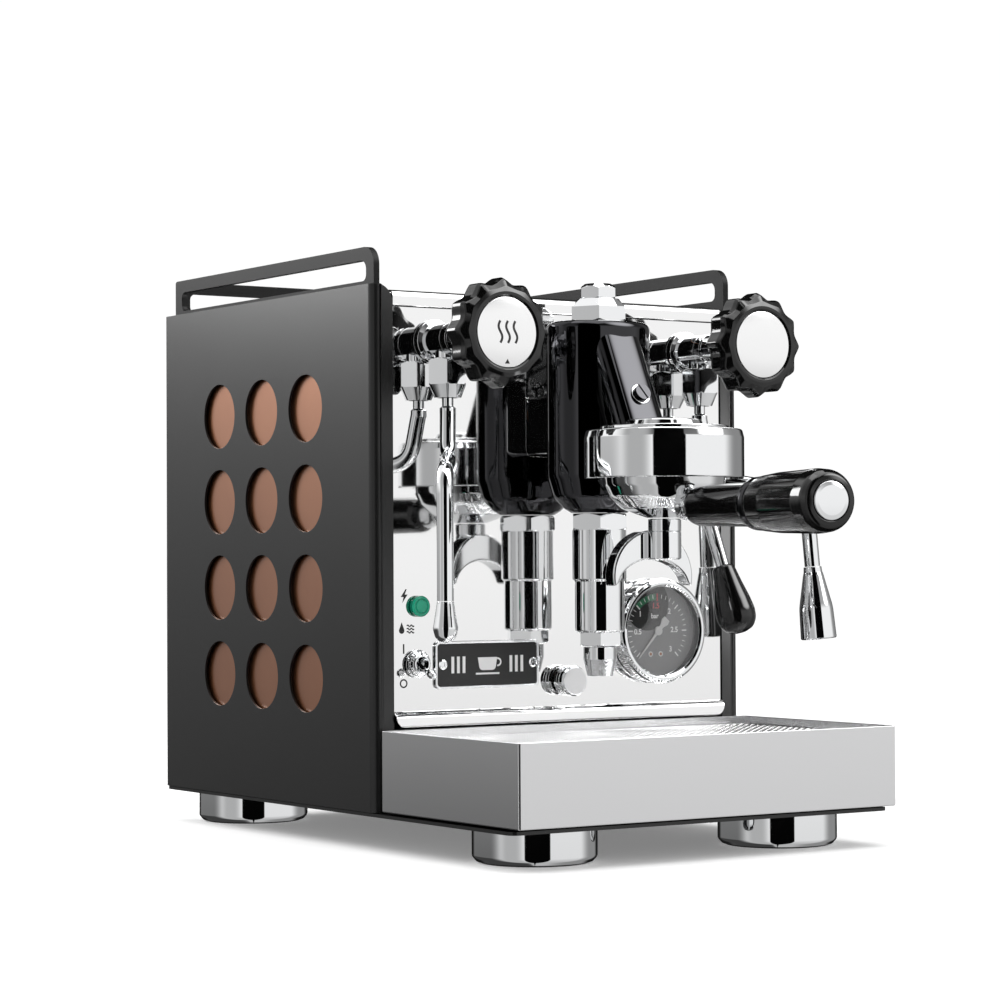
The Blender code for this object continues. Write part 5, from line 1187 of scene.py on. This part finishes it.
blade = [(-0.9, -1.5), (-1.5, 4), (-3.0, 7.4), (-2.4, 10), (2.4, 10), (3.0, 7.4), (1.5, 4), (0.9, -1.5),
         (0.35, -21), (0, -23.8), (-0.35, -21)]
lean = math.radians(-42)
blade = [(x * math.cos(lean) - y * math.sin(lean), x * math.sin(lean) + y * math.cos(lean)) for x, y in blade]
piece("needle_blade", slab(blade, -5.7, -5.1), NEEDLE_GREY, "needle", GAUGE,
      lay=FRONT_WALL, edge=0.1, stands_for=("gauge_needle",))
hub = [(0, 3.4), (1.05, 3.4), (1.05, 4.9), (2.9, 4.9, 0.2), (2.9, 6.0, 0.5), (1.0, 6.25), (0, 6.2)]
turned("needle_hub", hub, GAUGE, FORWARD, sides=48, material=NEEDLE_GREY, body="needle")

# ---- Light, switch, name plate and drain knob --------------------------------------------------
# The small front-panel items: a green lens, a toggle switch in a round nut, an engraved black plate
# in a raised steel frame, and a grooved knob that opens the drain. Their signs are printed in black.


def green_lens():
    """Tinted acrylic over a lit lamp: deep green at the rim, brighter in the middle."""
    made, tree, shader = finish("tinted_green_acrylic")
    cell = node(tree, "ShaderNodeTexVoronoi", {"Scale": 900.0})
    bump = node(tree, "ShaderNodeBump", {"Strength": 0.25, "Distance": 0.00008,
                                         "Height": cell.outputs["Distance"]})
    facing = node(tree, "ShaderNodeLayerWeight", {"Blend": 0.4}).outputs["Facing"]
    tint = node(tree, "ShaderNodeMix", {0: facing, 6: linear("#168f70"), 7: linear("#06382b")},
                data_type="RGBA")
    feed(shader, {"Base Color": tint.outputs[2], "Normal": bump.outputs[0], "Roughness": 0.12, "IOR": 1.49,
                  "Emission Color": linear("#119a74"), "Emission Strength": 0.04})
    return made


LIGHT = (LIGHT_X, 0, LIGHT_Z)
lens = [(0, -13.9), (4.9, -13.9), (4.9, -0.2), (6.3, -0.1, 0.1), (6.3, 2.6, 0.5), (5.3, 3.5, 0.4),
        (4.6, 3.4, 0.1), (4.4, 2.9), (4.0, 2.9, 0.1), (3.7, 3.5, 0.3), (0, 3.85)]
turned("light_lens", lens, LIGHT, FORWARD, sides=72, material=green_lens(), sharp=40,
       stands_for=("pilot_light",))
bush = [(0, -13.9), (4.9, -13.9), (4.9, -0.2), (8.5, -0.1, 0.2), (8.5, 1.4, 0.4), (7.4, 1.8, 0.1),
        (7.3, 3.6, 0.5), (5.6, 4.1, 0.2), (5.4, 6.1, 0.4), (4.35, 6.1, 0.2), (3.5, -3.9), (0, -3.9)]
nut = lathe(bush, 144)
for vert in nut.verts:
    if 6.8 < vert.co.xy.length < 7.5 and vert.co.z > 1.9:
        angle = math.atan2(vert.co.y, vert.co.x)
        factor = 1 - 0.035 * (1 if math.cos(24 * angle) < 0 else 0)
        vert.co.x *= factor
        vert.co.y *= factor
piece("switch_nut", nut, CHROME, "housing", (SWITCH_X, 0, SWITCH_Z), lay=FORWARD, sharp=36,
      stands_for=("switch_bushing",))
down = Matrix.Rotation(math.radians(19), 4, "X") @ FORWARD
stick = [(0, -1.5), (1.2, -1.4, 0.3), (1.5, 0), (1.5, 4), (1.7, 14, 3), (2.6, 16.9, 1), (2.75, 19, 1),
         (1.8, 21.3, 1), (0, 21.95)]
turned("switch_stick", stick, (SWITCH_X, 1.0, SWITCH_Z), down, sides=48, body="switch", sharp=60,
       stands_for=("switch_lever",))

PLATE_X, PLATE_Z, PLATE_HALF_X, PLATE_HALF_Z = -57.0, 109.4, 37.45, 14.35
BLACK_PLASTIC = painted("satin_black_moulded_plastic", "#161616", "#1d1d1d", 0.38, 0.5, 500.0)
rim = rounded((-PLATE_HALF_X, PLATE_HALF_X), (-PLATE_HALF_Z, PLATE_HALF_Z), 3.2, 8)
field = rounded((1.6 - PLATE_HALF_X, PLATE_HALF_X - 1.6), (1.6 - PLATE_HALF_Z, PLATE_HALF_Z - 1.6), 2, 8)
piece("plate_frame", slab(rim, -0.85, 0.65, [field]), CHROME, "housing",
      (PLATE_X, 0, PLATE_Z), lay=FRONT_WALL, edge=0.3, stands_for=("name_plate",))
piece("plate_field", slab(field, -0.45, 0.6), BLACK_PLASTIC, "housing",
      (PLATE_X, 0, PLATE_Z), lay=FRONT_WALL)
for i, x in enumerate((-88.9, -23.7)):
    piece(f"plate_screw_{i}", screw_head(3.0, 0.42), CHROME, "housing", (x, -0.46, PLATE_Z + 0.4),
          lay=FORWARD)
cup = softened([(-7, 4.2), (7, 4.2), (5.6, -3.6, 2.6), (-5.6, -3.6, 2.6)], 8, closed=True)
ear = [(7.2 + 2.4 * math.cos(math.radians(a)),
        1.2 + 2.2 * math.sin(math.radians(a))) for a in range(-95, 96, 10)]
shapes = [(cup, ()), (stroke(ear, 1.0), ()), ([(-8.5, -6.2), (8.5, -6.2), (8.5, -5.1), (-8.5, -5.1)], ())]
for x in (-25, -21, -17, 17, 21, 25):
    shapes.append(([(x - 1, -5), (x + 1, -5), (x + 1, 5), (x - 1, 5)], ()))
printed("plate_sign", shapes, INK_PALE, "housing", (PLATE_X, -0.47, PLATE_Z), FORWARD, 0.05)

drain = [(0, -11.9), (2.95, -11.9), (2.95, 1), (8.2, 1.05, 0.3), (9.4, 2.1, 0.4), (9.4, 4.5, 0.4),
         (7.9, 5.3, 0.2), (7.9, 6.8, 0.2), (9.4, 7.6, 0.4), (9.4, 10.6, 0.5), (8.5, 12.05, 0.4), (0, 12.05)]
turned("drain_grip", drain, (DRAIN_X, 0, DRAIN_Z), FORWARD, body="drain", sharp=36,
       stands_for=("drain_knob",))
cap = [(0, 12.05), (7.9, 12.05), (7.8, 12.15), (0, 12.15)]
turned("drain_cap", cap, (DRAIN_X, 0, DRAIN_Z), FORWARD, sides=72, material=SATIN, body="drain")

bolt = [(1.0, 4.1), (-2.4, -0.6), (-0.4, -0.6), (-1.3, -4.1), (2.4, 0.9), (0.4, 0.9), (1.8, 4.1)]
FACE_Y = FRONT_FACE - 0.01
printed("sign_bolt", [(bolt, ())], INK_BLACK, "housing", (-115.2, FACE_Y, 151.2), FORWARD,
        0.04)
drop = [(-2.4, 4.0)] + [(-2.4 + 1.9 * math.sin(math.radians(a)), -1.0 - 1.9 * math.cos(math.radians(a)))
                        for a in range(120, -121, -20)]
waves = [[(1.2 + 0.42 * i, 1.8 - 1.9 * k + 0.55 * math.sin(i * 1.05)) for i in range(13)] for k in range(3)]
printed("sign_water", [(drop, ())] + [(stroke(wave, 0.75), ()) for wave in waves], INK_BLACK, "housing",
        (-114.6, FACE_Y, 131.6), FORWARD, 0.04)
printed("sign_on", [([(-0.5, -2.9), (0.5, -2.9), (0.5, 2.9), (-0.5, 2.9)], ())], INK_BLACK, "housing",
        (-115.7, FACE_Y, 119.7), FORWARD, 0.04)
printed("sign_off", [(circle(0, 0, 2.7, 40), (circle(0, 0, 1.8, 40),))], INK_BLACK, "housing",
        (-115.8, FACE_Y, 99.1), FORWARD, 0.04)

# ---- Inside and rear parts ---------------------------------------------------------------------
# Parts that show only from behind or through openings keep their working shapes: copper boiler and
# pipes, a milky water tank, and black moulded pump, control box and mains inlet.


def milky_plastic():
    """Blow-moulded polypropylene: milky, waxy and softly translucent."""
    made, tree, shader = finish("milky_blow_moulded_polypropylene")
    skin = node(tree, "ShaderNodeTexNoise", {"Scale": 400.0, "Detail": 3.0})
    bump = node(tree, "ShaderNodeBump", {"Strength": 0.2, "Distance": 0.0001, "Height": skin.outputs["Fac"]})
    feed(shader, {"Normal": bump.outputs[0], "Base Color": linear("#dfe3e4"), "Roughness": 0.42,
                  "Transmission Weight": 0.35})
    return made


dress(milky_plastic(), "water_tank")
dress(BLACK_PLASTIC, "pump", "control_box", "power_inlet")
